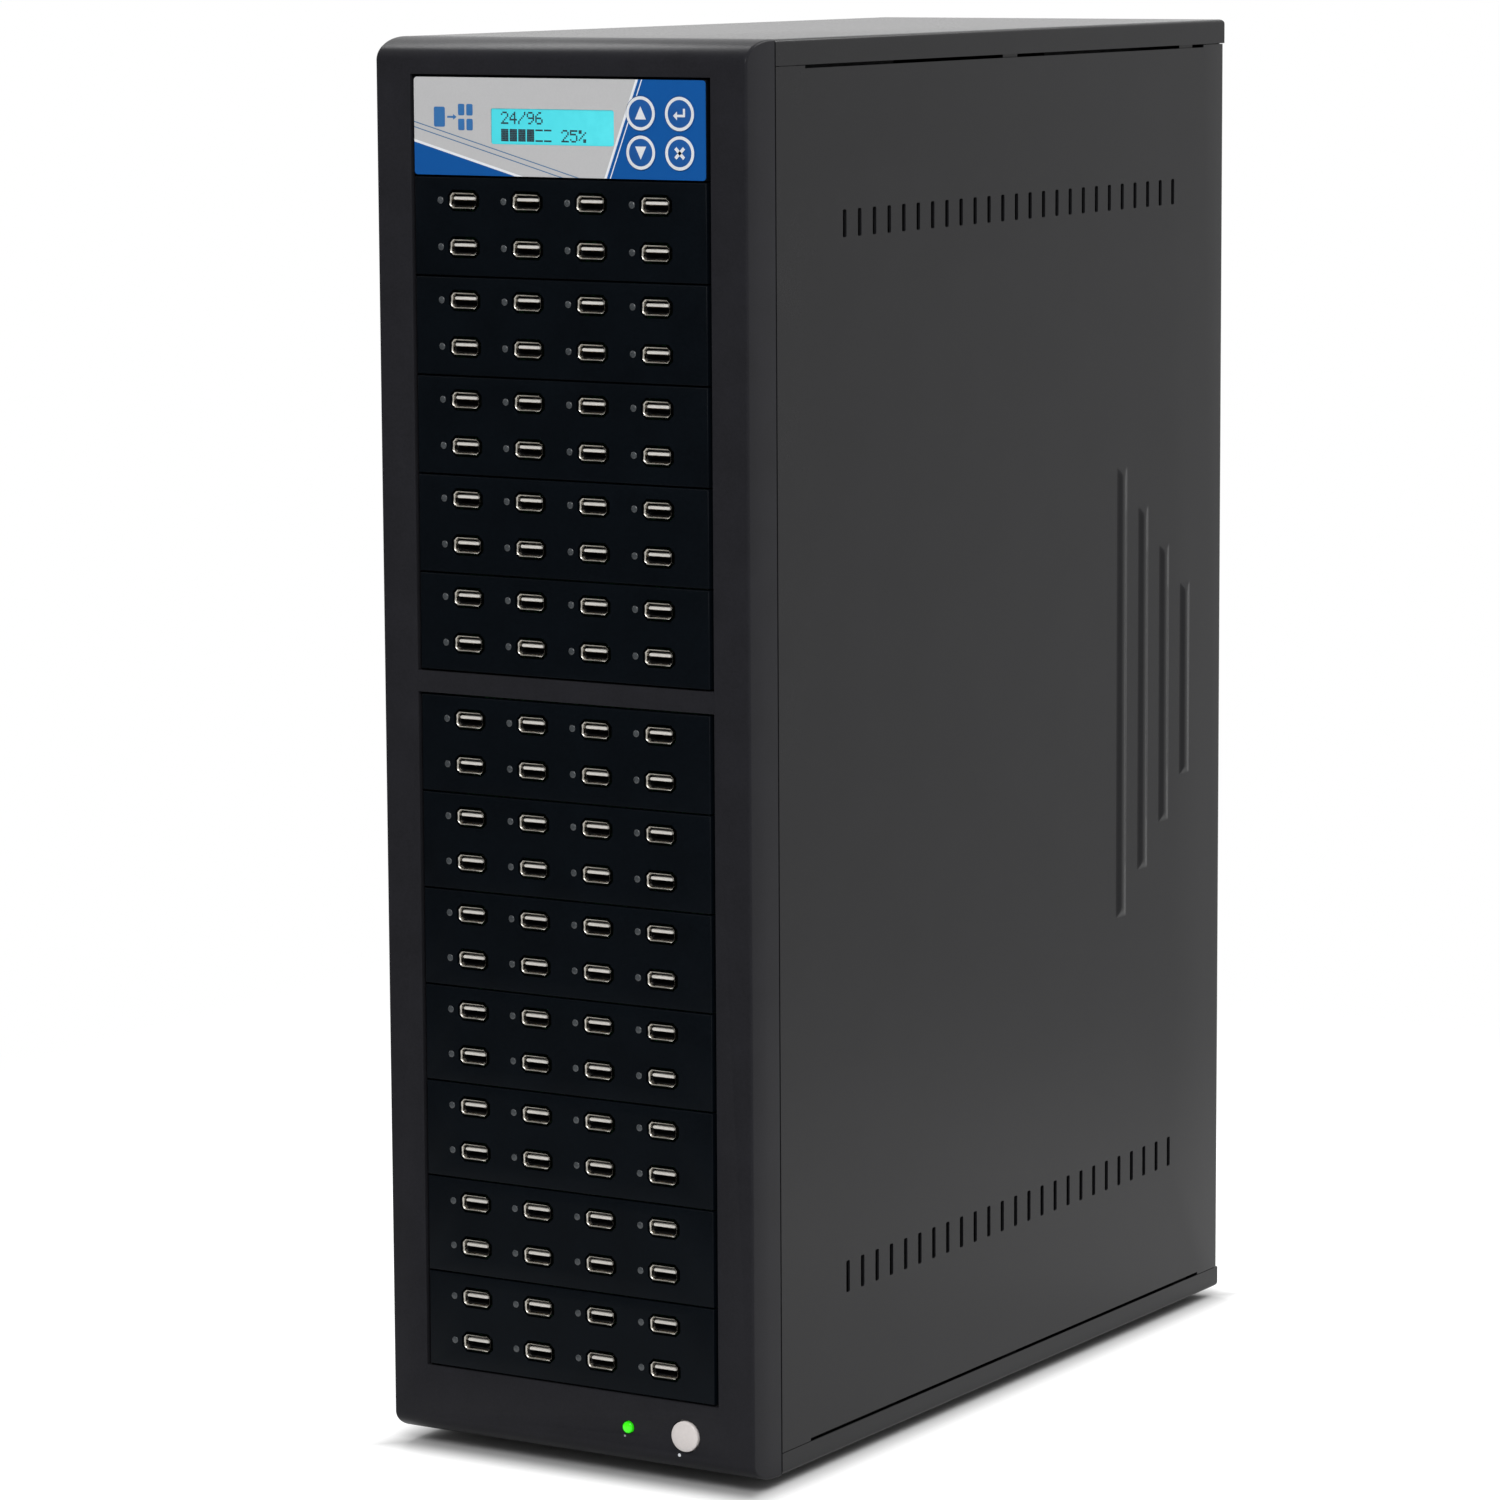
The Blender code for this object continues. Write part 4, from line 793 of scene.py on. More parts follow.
def overlay_film():
    # Polyester film, printed on its back in light gray and blue: flat colours under a fine matt emboss.
    # The pattern is laid out in millimetres from the faceplate's lower left corner.
    material, tree, shader, place = blank("printed_polyester", Roughness=0.4, Specular_IOR_Level=0.25)
    low_corner = SEAT + Vector((-PANEL_WIDTH / 2, 0, control_floor()))
    values = {"Vector": place, "Location": low_corner * -1000, "Scale": (1000, 1000, 1000)}
    laid = add(tree, "ShaderNodeMapping", values)
    spot = add(tree, "ShaderNodeSeparateXYZ", {0: laid})

    def over_line(slope, level):
        """How far a spot lies above a slanted line, in millimetres."""
        lean = add(tree, "ShaderNodeMath", {0: spot.outputs["X"], 1: slope}, operation="MULTIPLY")
        base = add(tree, "ShaderNodeMath", {0: spot.outputs["Z"], 1: lean}, operation="SUBTRACT")
        return add(tree, "ShaderNodeMath", {0: base, 1: level}, operation="SUBTRACT")

    grain = add(tree, "ShaderNodeTexNoise", {"Vector": place, "Scale": 1 / 0.0007, "Detail": 1.0})
    values = {0: grain, 6: linear("b9b9ba"), 7: linear("bfbfc0")}
    colour = add(tree, "ShaderNodeMix", values, data_type="RGBA").outputs[2]
    blue = "00529c"
    pale = "e4e6ea"
    thin = "4f7499"
    far = -1000
    wedge = over_line(-0.27, 14.0)
    keypad = over_line(2.6, -251.0)
    # Each colour fills the space between two heights over its line, and covers what is before it
    fields = (
        (wedge, 5.975, 6.425, thin),
        (wedge, 8.175, 8.625, thin),
        (wedge, far, 1.1, pale),
        (wedge, far, 0, blue),
        (keypad, far, 3.2, pale),
        (keypad, far, 0, blue),
        (keypad, -5.25, -3.95, pale),
    )
    for over, low, high, ink in fields:
        values = {0: over, 1: (low + high) / 2, 2: (high - low) / 2}
        inside = add(tree, "ShaderNodeMath", values, operation="COMPARE")
        values = {0: inside, 6: colour, 7: linear(ink)}
        colour = add(tree, "ShaderNodeMix", values, data_type="RGBA").outputs[2]
    bump = add(tree, "ShaderNodeBump", {"Height": grain, "Distance": 0.00001})
    feed(shader, {"Base Color": colour, "Normal": bump})
    return material


def print_ink(name, tones):
    # Screen-printed ink: dense, matt, with the slight unevenness of a mesh print.
    return surface(name, tones, (0.4, 0.5), 0.0006, 0.000005)


def lit_display():
    # The display's backlight behind frosted film: a flat cyan, a little brighter towards its right end.
    material, tree, shader, place = blank("backlit_lcd_cyan", Roughness=0.3, Emission_Strength=0.2)
    spot = add(tree, "ShaderNodeSeparateXYZ", {0: place})
    values = {"Value": spot.outputs["X"], "From Min": -0.034, "From Max": 0.028}
    across = add(tree, "ShaderNodeMapRange", values)
    grain = add(tree, "ShaderNodeTexNoise", {"Vector": place, "Scale": 1 / 0.004})
    mixed = add(tree, "ShaderNodeMath", {0: across, 1: grain}, operation="MULTIPLY")
    values = {0: mixed, 6: linear("45cdd8"), 7: linear("58dde6")}
    tone = add(tree, "ShaderNodeMix", values, data_type="RGBA")
    feed(shader, {"Base Color": tone.outputs[2], "Emission Color": tone.outputs[2]})
    return material


def button_abs():
    # Gloss-moulded white ABS: smooth, slightly pink white with a clear highlight.
    return surface("gloss_abs_white", ("ddd6d4", "e6dfdc"), (0.16, 0.24), 0.0012, 0.000006)


def fan_pbt():
    # Glass-filled PBT of a fan: black, faintly streaked, half matt.
    return surface("glass_filled_pbt", ("0c0c0d", "151516"), (0.38, 0.5), 0.0012, 0.00002)


def inlet_nylon():
    # Flame-proof nylon of a mains inlet: black and slightly glossy.
    return surface("black_nylon", ("08080a", "0e0e10"), (0.3, 0.4), 0.001, 0.00001)


def rocker_abs():
    # The rocker is polished ABS: black, with a clearer gloss than the inlet around it.
    return surface("gloss_black_abs", ("0f0f10", "151516"), (0.18, 0.26), 0.001, 0.000008)


def foot_rubber():
    # Moulded rubber: dull black with a dusty grain.
    return surface("moulded_rubber", ("0e0e0e", "181818"), (0.75, 0.9), 0.0008, 0.00006)


def screw_plate():
    # Nickel plate on turned steel: tool rings leave a fine silky grain.
    return surface("turned_nickel", ("a3a29d", "bcbbb6"), (0.25, 0.38), 0.0006, 0.000008, Metallic=1.0)


# Pieces


def roll_outline(face, edge, rear, steps):
    """The bezel from the side, at insets from its face and from its top and bottom."""
    lower = [(rear, edge)]
    for i in range(steps + 1):
        turn = math.pi / 2 * i / steps
        y = BEZEL_ROLL_DEPTH - (BEZEL_ROLL_DEPTH - face) * math.sin(turn)
        z = BEZEL_ROLL_HEIGHT - (BEZEL_ROLL_HEIGHT - edge) * math.cos(turn)
        lower.append((y, z))
    upper = [(y, TOWER_HEIGHT - z) for y, z in reversed(lower)]
    return lower + upper


def front_bezel():
    half = TOWER_WIDTH / 2
    piece = make(along_x(roll_outline(0, 0, BEZEL_DEPTH, 24), -half, half))
    rear = both_near(1, BEZEL_DEPTH)
    for side in (-half, half):
        end = both_near(0, side)
        round_edges(piece, BEZEL_EDGE_ROUND, 4, lambda a, b: end(a, b) and not rear(a, b))
    inner = roll_outline(BEZEL_FACE, BEZEL_WALL, BEZEL_DEPTH + CUT_OVERRUN, 10)
    cut(piece, along_x(inner, BEZEL_WALL - half, half - BEZEL_WALL))
    through = (-CUT_OVERRUN, BEZEL_FACE + CUT_OVERRUN)
    openings = (
        (LOWER_OPENING, BOTTOM_STRIP + LOWER_OPENING / 2),
        (UPPER_OPENING, TOWER_HEIGHT - TOP_STRIP - UPPER_OPENING / 2),
    )
    holes = [slab((BAY_OPENING_WIDTH, height), through, (0, middle)) for height, middle in openings]
    for radius, centre in (
        (BUTTON_RADIUS + BUTTON_CLEARANCE, BUTTON_CENTRE),
        (POWER_LAMP_RADIUS + SEAT_GAP, POWER_LAMP_CENTRE),
    ):
        holes.append(rod(radius, through, 48, centre))
    cut(piece, *holes)
    face = both_near(1, 0)
    reach = half - 2 * BEZEL_EDGE_ROUND
    low = BEZEL_ROLL_HEIGHT + SEAT_GAP

    def on_rim(a, b):
        inside = all(abs(p.x) < reach and low < p.z < TOWER_HEIGHT - low for p in (a, b))
        return face(a, b) and inside

    round_edges(piece, OPENING_ROUND, 2, on_rim)
    mount(piece, "bezel_moulding", "bezel", "tower", ["front_bezel"])


def bezel_marks():
    """Small printed dots under the button and the lamp."""
    marks = (
        ("button_mark", "ink_white", 0.00075, (0.055, 0.0094)),
        ("lamp_mark", "ink_gray", 0.0005, (0.0276, 0.0142)),
    )
    for name, coat, radius, centre in marks:
        dot = make(rod(radius, (-PRINT, SEAT_GAP), 20, centre))
        mount(dot, name, coat, "tower")


def module_frame(front=0.0):
    half = PANEL_WIDTH / 2
    piece = make(block((-half, front, 0), (half, MODULE_DEPTH, PANEL_HEIGHT)))
    round_edges(piece, PANEL_ROUND, 3, both_near(1, front))
    low = (PANEL_CHEEK - half, PANEL_FACE, -CUT_OVERRUN)
    high = (half - PANEL_CHEEK, MODULE_DEPTH - PANEL_BACK, PANEL_HEIGHT + CUT_OVERRUN)
    return cut(piece, block(low, high))


def socket_places():
    for row in range(SOCKET_ROWS):
        for column in range(SOCKET_COLUMNS):
            x = (column - (SOCKET_COLUMNS - 1) / 2) * SOCKET_COLUMN_PITCH
            yield x, SOCKET_FIRST_ROW + row * SOCKET_ROW_PITCH


def panel_floor(number):
    """The height of a faceplate's lower edge over the underside."""
    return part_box(f"port_panel_{number:02d}")[0].z - SEAT.z


def port_panels():
    first = module_frame()
    depths = (-CUT_OVERRUN, PANEL_FACE + CUT_OVERRUN)
    cut(first, *[slab(SOCKET_HOLE, depths, place, SOCKET_HOLE_CORNER) for place in socket_places()])
    for number in range(1, BAYS):
        name = f"port_faceplate_{number:02d}"
        place = (0, 0, panel_floor(number))
        mount(copied(first), name, "panel", "tower", [f"port_panel_{number:02d}"], place)
    drop(first)


def socket_bank(name, template, coat, stands_for=(), aside=0.0, sharp=35):
    """A copy of a template at each of the 96 sockets, or to the side of it."""
    places = [(aside, 0, panel_floor(n) + SOCKET_MIDDLE) for n in range(1, BAYS)]
    sizes = (SOCKET_COLUMNS, SOCKET_ROWS, SOCKET_COLUMN_PITCH, SOCKET_ROW_PITCH)
    mount(bank(template, places, coat, *sizes), name, coat, "tower", stands_for, sharp=sharp)


def port_lamps():
    profile = [(LAMP_RADIUS, PANEL_FACE / 2), (LAMP_RADIUS, 0.0001)]
    steps = 3
    for i in range(steps):
        turn = math.pi / 2 * i / steps
        profile.append((LAMP_LENS_RADIUS * math.cos(turn), -LAMP_PROUD * math.sin(turn)))
    lens = make(turned(profile, 12))
    socket_bank("port_lamps", lens, "lens_smoke", aside=-LAMP_OFFSET, sharp=60)


def port_sockets():
    """Each socket: a flared shell with a black sleeve inside it that paints the shade in the socket, and a
    tongue with four contacts.
    """

    def lofted(rings, height=0.0):
        return make([plate(size, y, (0, height), corner) for size, y, corner in rings])

    flare = (
        (SHELL_OUTER, BOARD_FRONT, 0.0008),
        (SHELL_OUTER, 0.0014, 0.0008),
        ((0.0135, 0.0066), 0.0, 0.0014),
        ((0.0134, 0.0065), -0.0003, 0.0014),
        ((0.0131, 0.0062), -0.0002, 0.0013),
        ((0.0125, 0.0056), 0.0002, 0.0011),
        (SHELL_INNER, 0.0014, 0.0008),
        (SHELL_INNER, 0.0107, 0.0008),
    )
    # A black sleeve along the shell's inside walls: painted shade where the socket's hollow lies in shadow
    shade_sleeve = (
        (SHADE_SLEEVE_OUTER, 0.0106, 0.0008),
        (SHADE_SLEEVE_OUTER, 0.0016, 0.0008),
        (SHADE_SLEEVE_INNER, 0.0016, 0.0007),
        (SHADE_SLEEVE_INNER, 0.0104, 0.0007),
    )
    tongue = ((TONGUE_TIP, 0.0007, 0.0003), (TONGUE_SIZE, 0.001, 0.0004), (TONGUE_SIZE, 0.0108, 0.0004))
    half = CONTACT_WIDTH / 2
    leaves = [block((x - half, 0.002, 0), (x + half, 0.0105, CONTACT_THICKNESS)) for x in CONTACT_PLACES]
    boards = [f"port_board_{n:02d}" for n in range(1, BAYS)]
    socket_bank("socket_shells", lofted(flare), "nickel", boards)
    socket_bank("socket_liners", lofted(shade_sleeve), "inlet")
    socket_bank("socket_tongues", lofted(tongue, TONGUE_HEIGHT), "tongue")
    socket_bank("socket_contacts", make(*leaves), "gilt")


def port_circuit_boards():
    """The sockets' board in each module, with a row of chips on its front."""
    half = PANEL_WIDTH / 2 - PANEL_CHEEK - SEAT_GAP
    low = (-half, BOARD_FRONT, -BOARD_HALF_HEIGHT)
    forms = [block(low, (half, BOARD_FRONT + BOARD_THICKNESS, BOARD_HALF_HEIGHT))]
    wide, deep, high = CHIP_SIZE
    for x in CHIP_PLACES:
        low = (x - wide / 2, BOARD_FRONT - deep, -high / 2)
        forms.append(block(low, (x + wide / 2, BOARD_FRONT + 0.0002, high / 2)))
    places = [(0, 0, panel_floor(n) + PANEL_HEIGHT / 2) for n in range(1, BAYS)]
    boards = bank(make(*forms), places, "board")
    mount(boards, "port_circuit_boards", "board", "tower")


def control_floor():
    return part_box("control_panel")[0].z - SEAT.z


def key_places():
    names = (("key_down", "key_up"), ("key_escape", "key_enter"))
    for column, x in enumerate(KEY_COLUMNS):
        for row, z in enumerate(KEY_ROWS):
            yield names[column][row], (x, z)


def control_holes(radius, window, corner, depths):
    holes = [rod(radius, depths, 48, place) for _, place in key_places()]
    return [*holes, slab(window, depths, WINDOW_CENTRE, corner, 6)]


def control_panel():
    """The faceplate's moulding, with the printed film on its front."""
    place = (0, 0, control_floor())
    depths = (-CUT_OVERRUN, PANEL_FACE + CUT_OVERRUN)
    body = module_frame(OVERLAY_FILM)
    cut(body, *control_holes(KEY_RADIUS + SEAT_GAP, WINDOW_SIZE, 0.001, depths))
    mount(body, "control_moulding", "panel", "tower", ["control_panel"], place)
    size = (PANEL_WIDTH - 0.0004, PANEL_HEIGHT - 0.0004)
    film = make(slab(size, (0, OVERLAY_FILM), (0, PANEL_HEIGHT / 2), 0.0015, 6))
    window = (WINDOW_SIZE[0] - 0.0008, WINDOW_SIZE[1] - 0.0008)
    cut(film, *control_holes(KEY_RADIUS + 0.0001, window, 0.001, depths))
    mount(film, "control_film", "film", "tower", place=place)


def copy_mark():
    """A plain picture of one block copied to four, printed on the film."""
    y = (-PRINT, OVERLAY_FILM / 2)
    forms = [slab((0.0056, 0.0084), y, (-0.0595, 0.0245), 0.0008, 4)]
    arrow = ((-0.0555, 0.0241), (-0.0525, 0.0241), (-0.0525, 0.0233), (-0.0508, 0.0245))
    arrow += ((-0.0525, 0.0257), (-0.0525, 0.0249), (-0.0555, 0.0249))
    forms.append(along_y(arrow, *y))
    for x in (-0.0484, -0.0442):
        for z in (0.0214, 0.0276):
            forms.append(slab((0.0032, 0.0048), y, (x, z), 0.0006, 4))
    mount(make(*forms), "copy_mark", "ink_blue", "tower", place=(0, 0, control_floor()))


def key_signs():
    """The outlines printed on the keys, each from its key's middle."""
    arm = 0.0021
    stroke = 0.0005
    cross = []
    for lean in (1, -1):
        bar = ((-arm - stroke, -arm + stroke), (-arm + stroke, -arm - stroke))
        bar += ((arm + stroke, arm - stroke), (arm - stroke, arm + stroke))
        cross.append(tuple((lean * u, v) for u, v in bar))
    half = 0.0027
    return {
        "key_up": [((-half, -0.0025), (half, -0.0025), (0, 0.0029))],
        "key_down": [((-half, 0.0025), (0, -0.0029), (half, 0.0025))],
        "key_enter": [
            ((-0.0012, -0.0013), (0.0027, -0.0013), (0.0027, -0.0003), (-0.0012, -0.0003)),
            ((0.0017, -0.0003), (0.0027, -0.0003), (0.0027, 0.0022), (0.0017, 0.0022)),
            ((-0.0031, -0.0008), (-0.0012, -0.0026), (-0.0012, 0.001)),
        ],
        "key_escape": cross,
    }


def keys():
    """Four blue caps, each with a printed ring and a sign."""
    out = KEY_RADIUS
    profile = [(out - 0.0004, -KEY_PROUD), (out - 0.00015, 0.0001 - KEY_PROUD), (out, 0.0004 - KEY_PROUD)]
    profile += [(out, KEY_DEPTH), (KEY_STEM_RADIUS, KEY_DEPTH), (KEY_STEM_RADIUS, KEY_STEM_END)]
    ink = (-KEY_PROUD - PRINT, PRINT - KEY_PROUD)
    rim = out - 0.0003
    bore = rim - KEY_RING_STROKE
    signs = key_signs()
    for name, (x, z) in key_places():
        body = name + "_body"
        place = (x, 0, z + control_floor())
        mount(make(turned(profile, 64)), name + "_cap", "key", body, [name], place)
        ring = make(rod(rim, ink, 64))
        cut(ring, rod(bore, (ink[0] - PRINT, ink[1] + PRINT), 64))
        sign = make(*[along_y(outline, *ink) for outline in signs[name]])
        mount(join(ring, sign), name + "_print", "ink_white", body, place=place)


# The dots of each letter by rows, from the top; F and E are a bar's full and empty steps
LETTERS = {
    "0": "01110 10001 10011 10101 11001 10001 01110",
    "2": "01110 10001 00001 00010 00100 01000 11111",
    "4": "00010 00110 01010 10010 11111 00010 00010",
    "5": "11111 10000 11110 00001 00001 10001 01110",
    "6": "00110 01000 10000 11110 10001 10001 01110",
    "9": "01110 10001 10001 01111 00001 00010 01100",
    "/": "00001 00001 00010 00100 01000 10000 10000",
    "%": "11000 11001 00010 00100 01000 10011 00011",
    "F": "11111 11111 11111 11111 11111 11111 11111",
    "E": "11111 00000 00000 00000 00000 00000 11111",
}


def display():
    """The lit pane with a count and a progress bar in dots, in its metal frame on its board."""
    place = (0, 0, control_floor())
    x0, z0 = WINDOW_CENTRE
    glass = (WINDOW_SIZE[0] - GLASS_GAP, WINDOW_SIZE[1] - GLASS_GAP)
    rings = [plate((glass[0] - 0.0003, glass[1] - 0.0003), GLASS_FRONT, WINDOW_CENTRE, 0.0008, 6)]
    rings += [plate(glass, y, WINDOW_CENTRE, 0.0009, 6) for y in (0.00055, GLASS_BACK)]
    mount(make(rings), "display_pane", "lcd", "tower", ["display_module"], place)
    dots = []
    for text, level in (("24/96", z0 + LINE_OFFSET), ("FFFFEE 25%", z0 - LINE_OFFSET)):
        for i, letter in enumerate(text):
            left = x0 - WINDOW_SIZE[0] / 2 + FIRST_LETTER + i * LETTER_PITCH
            for row, line in enumerate(LETTERS.get(letter, "").split()):
                for column, lit in enumerate(line):
                    if lit == "1":
                        dots.append((left + column * DOT_PITCH, GLASS_FRONT, level + (3 - row) * DOT_PITCH))
    half = DOT_PITCH * DOT_SHARE / 2
    dot = make(block((-half, -PRINT / 2, -half), (half, PRINT, half)))
    mount(bank(dot, dots, "lcd_dot"), "display_dots", "lcd_dot", "tower", place=place)
    depths = (DISPLAY_FRAME_FRONT, DISPLAY_CARD_FRONT)
    tin = make(slab(DISPLAY_FRAME_SIZE, depths, WINDOW_CENTRE, 0.001, 2))
    round_edges(tin, 0.0004, 2, both_near(1, DISPLAY_FRAME_FRONT))
    mount(tin, "display_frame", "zinc", "tower", place=place)
    depths = (DISPLAY_CARD_FRONT, DISPLAY_CARD_BACK)
    card = make(slab(DISPLAY_CARD_SIZE, depths, WINDOW_CENTRE, 0.0006, 2))
    mount(card, "display_card", "board", "tower", place=place)


def dome(radius, rim, rise, reach, steps):
    """A rounded front's profile, from near its middle out to its rim; it spans the angle reach."""
    turns = [math.radians(reach) * i / steps for i in range(steps, -1, -1)]
    return [(radius * math.cos(turn), rim - rise * math.sin(turn)) for turn in turns]


def power_button():
    profile = [(0.0007, -0.0018)] + dome(BUTTON_RADIUS, -0.0005, 0.0013, 80, 10)
    profile += [(BUTTON_RADIUS, 0.0033), (0.0083, 0.0033), (0.0083, 0.0045)]
    profile += [(0.0025, 0.0045), (0.0025, 0.009)]
    piece = make(turned(profile, 64))
    place = (BUTTON_CENTRE[0], 0, BUTTON_CENTRE[1])
    body = "power_button_body"
    mount(piece, "power_button_cap", "button", body, ["power_button"], place)


def power_lamp():
    radius = POWER_LAMP_RADIUS
    profile = [(radius * 0.15, -0.0012)] + dome(radius, -0.0003, 0.0009, 78, 8)
    profile.append((radius, POWER_LAMP_DEPTH))
    piece = make(turned(profile, 48))
    place = (POWER_LAMP_CENTRE[0], 0, POWER_LAMP_CENTRE[1])
    mount(piece, "power_lamp_lens", "lens_lit", "tower", ["power_lamp"], place)


def case_tray(lip):
    """A sheet with its sides and its rear folded up over round folds."""
    half = TOWER_WIDTH / 2
    piece = make(block((-half, CASE_FRONT, 0), (half, TOWER_DEPTH, lip)))
    flat = both_near(2, 0)
    front = both_near(1, CASE_FRONT)
    round_edges(piece, FOLD_ROUND, 6, lambda a, b: flat(a, b) and not front(a, b))
    inner = half - SHEET
    low = (-inner, CASE_FRONT - CUT_OVERRUN, SHEET)
    high = (inner, TOWER_DEPTH - SHEET, lip + CUT_OVERRUN)
    return cut(piece, block(low, high))


def case_trays():
    mount(case_tray(BASE_LIP), "base_sheet", "paint", "tower", ["base_pan"])
    top = case_tray(TOP_LIP)
    top.data.transform(Matrix.Rotation(math.pi, 4, "Y"))
    mount(top, "cover_sheet", "paint", "tower", ["top_cover"], (0, 0, TOWER_HEIGHT))


def side_outline(floor, ceiling):
    return (
        (CASE_FRONT, floor),
        (SLIT_START, floor),
        (SLIT_START, floor + SIDE_SLIT),
        (SLIT_END, floor + SIDE_SLIT),
        (SLIT_END, floor),
        (SIDE_REAR, floor),
        (SIDE_REAR, ceiling),
        (SLIT_END, ceiling),
        (SLIT_END, ceiling - SIDE_SLIT),
        (SLIT_START, ceiling - SIDE_SLIT),
        (SLIT_START, ceiling),
        (CASE_FRONT, ceiling),
    )


def side_hooks(floor, ceiling):
    """Three hooks at each level edge, stepped inwards to catch behind the lips of the cover and the base."""
    weld_x = TOWER_WIDTH / 2 - SHEET / 2
    outer_x = TOWER_WIDTH / 2 - 2 * SHEET
    inner_x = outer_x - SHEET
    middles = (CASE_FRONT + FIRST_HOOK, (CASE_FRONT + SIDE_REAR) / 2, SIDE_REAR - LAST_HOOK)
    forms = []
    for edge, up in ((ceiling, 1), (floor, -1)):
        start = edge - up * (SIDE_SLIT + HOOK_ROOT)
        step = edge - up * (SIDE_SLIT + HOOK_STEP)
        tip = edge + up * HOOK_REACH
        outline = (
            (weld_x, start),
            (weld_x, step),
            (outer_x, step),
            (outer_x, tip),
            (inner_x, tip),
            (inner_x, start),
        )
        forms += [along_y(outline, y - HOOK_WIDTH / 2, y + HOOK_WIDTH / 2) for y in middles]
    return forms


def thumbscrew_places():
    floor = BASE_LIP + SEAT_GAP
    ceiling = TOWER_HEIGHT - TOP_LIP - SEAT_GAP
    for share in (0.2, 0.8):
        yield TOWER_WIDTH / 2 - THUMBSCREW_INSET, floor + share * (ceiling - floor)


def vent_cutter(height):
    """An upright slot with rounded ends, across the sheet (X)."""
    outline = [(x, z) for x, _, z in plate((VENT_WIDTH, height), 0, (0, 0), VENT_ROUND, 4)]
    return make(along_x(outline, -SHEET - CUT_OVERRUN, CUT_OVERRUN))


def side_panels():
    floor = BASE_LIP + SEAT_GAP
    ceiling = TOWER_HEIGHT - TOP_LIP - SEAT_GAP
    outer = TOWER_WIDTH / 2
    inner = outer - SHEET
    piece = make(along_x(side_outline(floor, ceiling), inner, outer))
    weld(piece, *side_hooks(floor, ceiling))
    low = (outer - REAR_FLANGE, SIDE_REAR - SHEET, floor)
    weld(piece, block(low, (inner + SHEET / 2, SIDE_REAR, ceiling)))
    hole = THUMBSCREW_SHANK_RADIUS + SEAT_GAP
    depths = (SIDE_REAR - SHEET - CUT_OVERRUN, SIDE_REAR + CUT_OVERRUN)
    cut(piece, *[rod(hole, depths, 24, place) for place in thumbscrew_places()])
    rear = both_near(1, SIDE_REAR)
    side = both_near(0, outer)
    round_edges(piece, SHEET_EDGE_ROUND, 4, lambda a, b: rear(a, b) and side(a, b))
    step = (0, VENT_PITCH, 0)
    for middle, height in (TOP_VENT, BOTTOM_VENT):
        start = (outer, VENT_FIRST, middle)
        punched(piece, vent_cutter(height), VENT_COUNT, start, step, "paint")
    inputs = {
        "Count": RIB_COUNT,
        "First": (outer, RIB_LAST - (RIB_COUNT - 1) * RIB_PITCH, RIB_CENTRE),
        "Pitch": RIB_PITCH,
        "Longest": RIB_LONGEST,
        "Step": RIB_STEP,
        "Width": RIB_WIDTH,
        "Relief": RIB_RELIEF,
    }
    grown(RIBS, piece, "paint", inputs)
    for hand, sheet in (("right", piece), ("left", mirrored(piece))):
        node = "side_panel_" + hand
        mount(sheet, "side_sheet_" + hand, "paint", node + "_body", [node], sharp=25)


def grille(piece, x, y, z, coat):
    """Punches a round grille of level slots in a sheet whose rear face is at y."""
    pitch = 2 * FAN_BORE_RADIUS / GRILLE_SLOTS
    width = pitch * GRILLE_SLOT_SHARE
    size = (2 * FAN_BORE_RADIUS, width)
    depths = (-SHEET - CUT_OVERRUN, CUT_OVERRUN)
    cutter = make(slab(size, depths, (0, 0), GRILLE_SLOT_CORNER, 4))
    start = (x, y, z - pitch * (GRILLE_SLOTS - 1) / 2)
    return punched(piece, cutter, GRILLE_SLOTS, start, (0, 0, pitch), coat, FAN_BORE_RADIUS, width)


def rear_panel():
    half = TOWER_WIDTH / 2 - SHEET - SEAT_GAP
    floor = SHEET + SEAT_GAP
    back = REAR_PANEL_FRONT + SHEET
    depths = (REAR_PANEL_FRONT - CUT_OVERRUN, back + CUT_OVERRUN)
    low = (-half, REAR_PANEL_FRONT, floor)
    piece = make(block(low, (half, back, TOWER_HEIGHT - floor)))
    window = (SUPPLY_SIZE[0] - 2 * SUPPLY_RIM[0], SUPPLY_SIZE[2] - 2 * SUPPLY_RIM[1])
    holes = [slab(window, depths, (0, SUPPLY_MIDDLE), 0.003, 5)]
    for x, z in thumbscrew_places():
        for side in (-x, x):
            holes.append(rod(THUMBSCREW_SHANK_RADIUS + SEAT_GAP, depths, 24, (side, z)))
    cut(piece, *holes)
    grille(piece, 0, back, CASE_FAN_HEIGHT, "paint")
    mount(piece, "rear_sheet", "paint", "tower", ["rear_panel"])


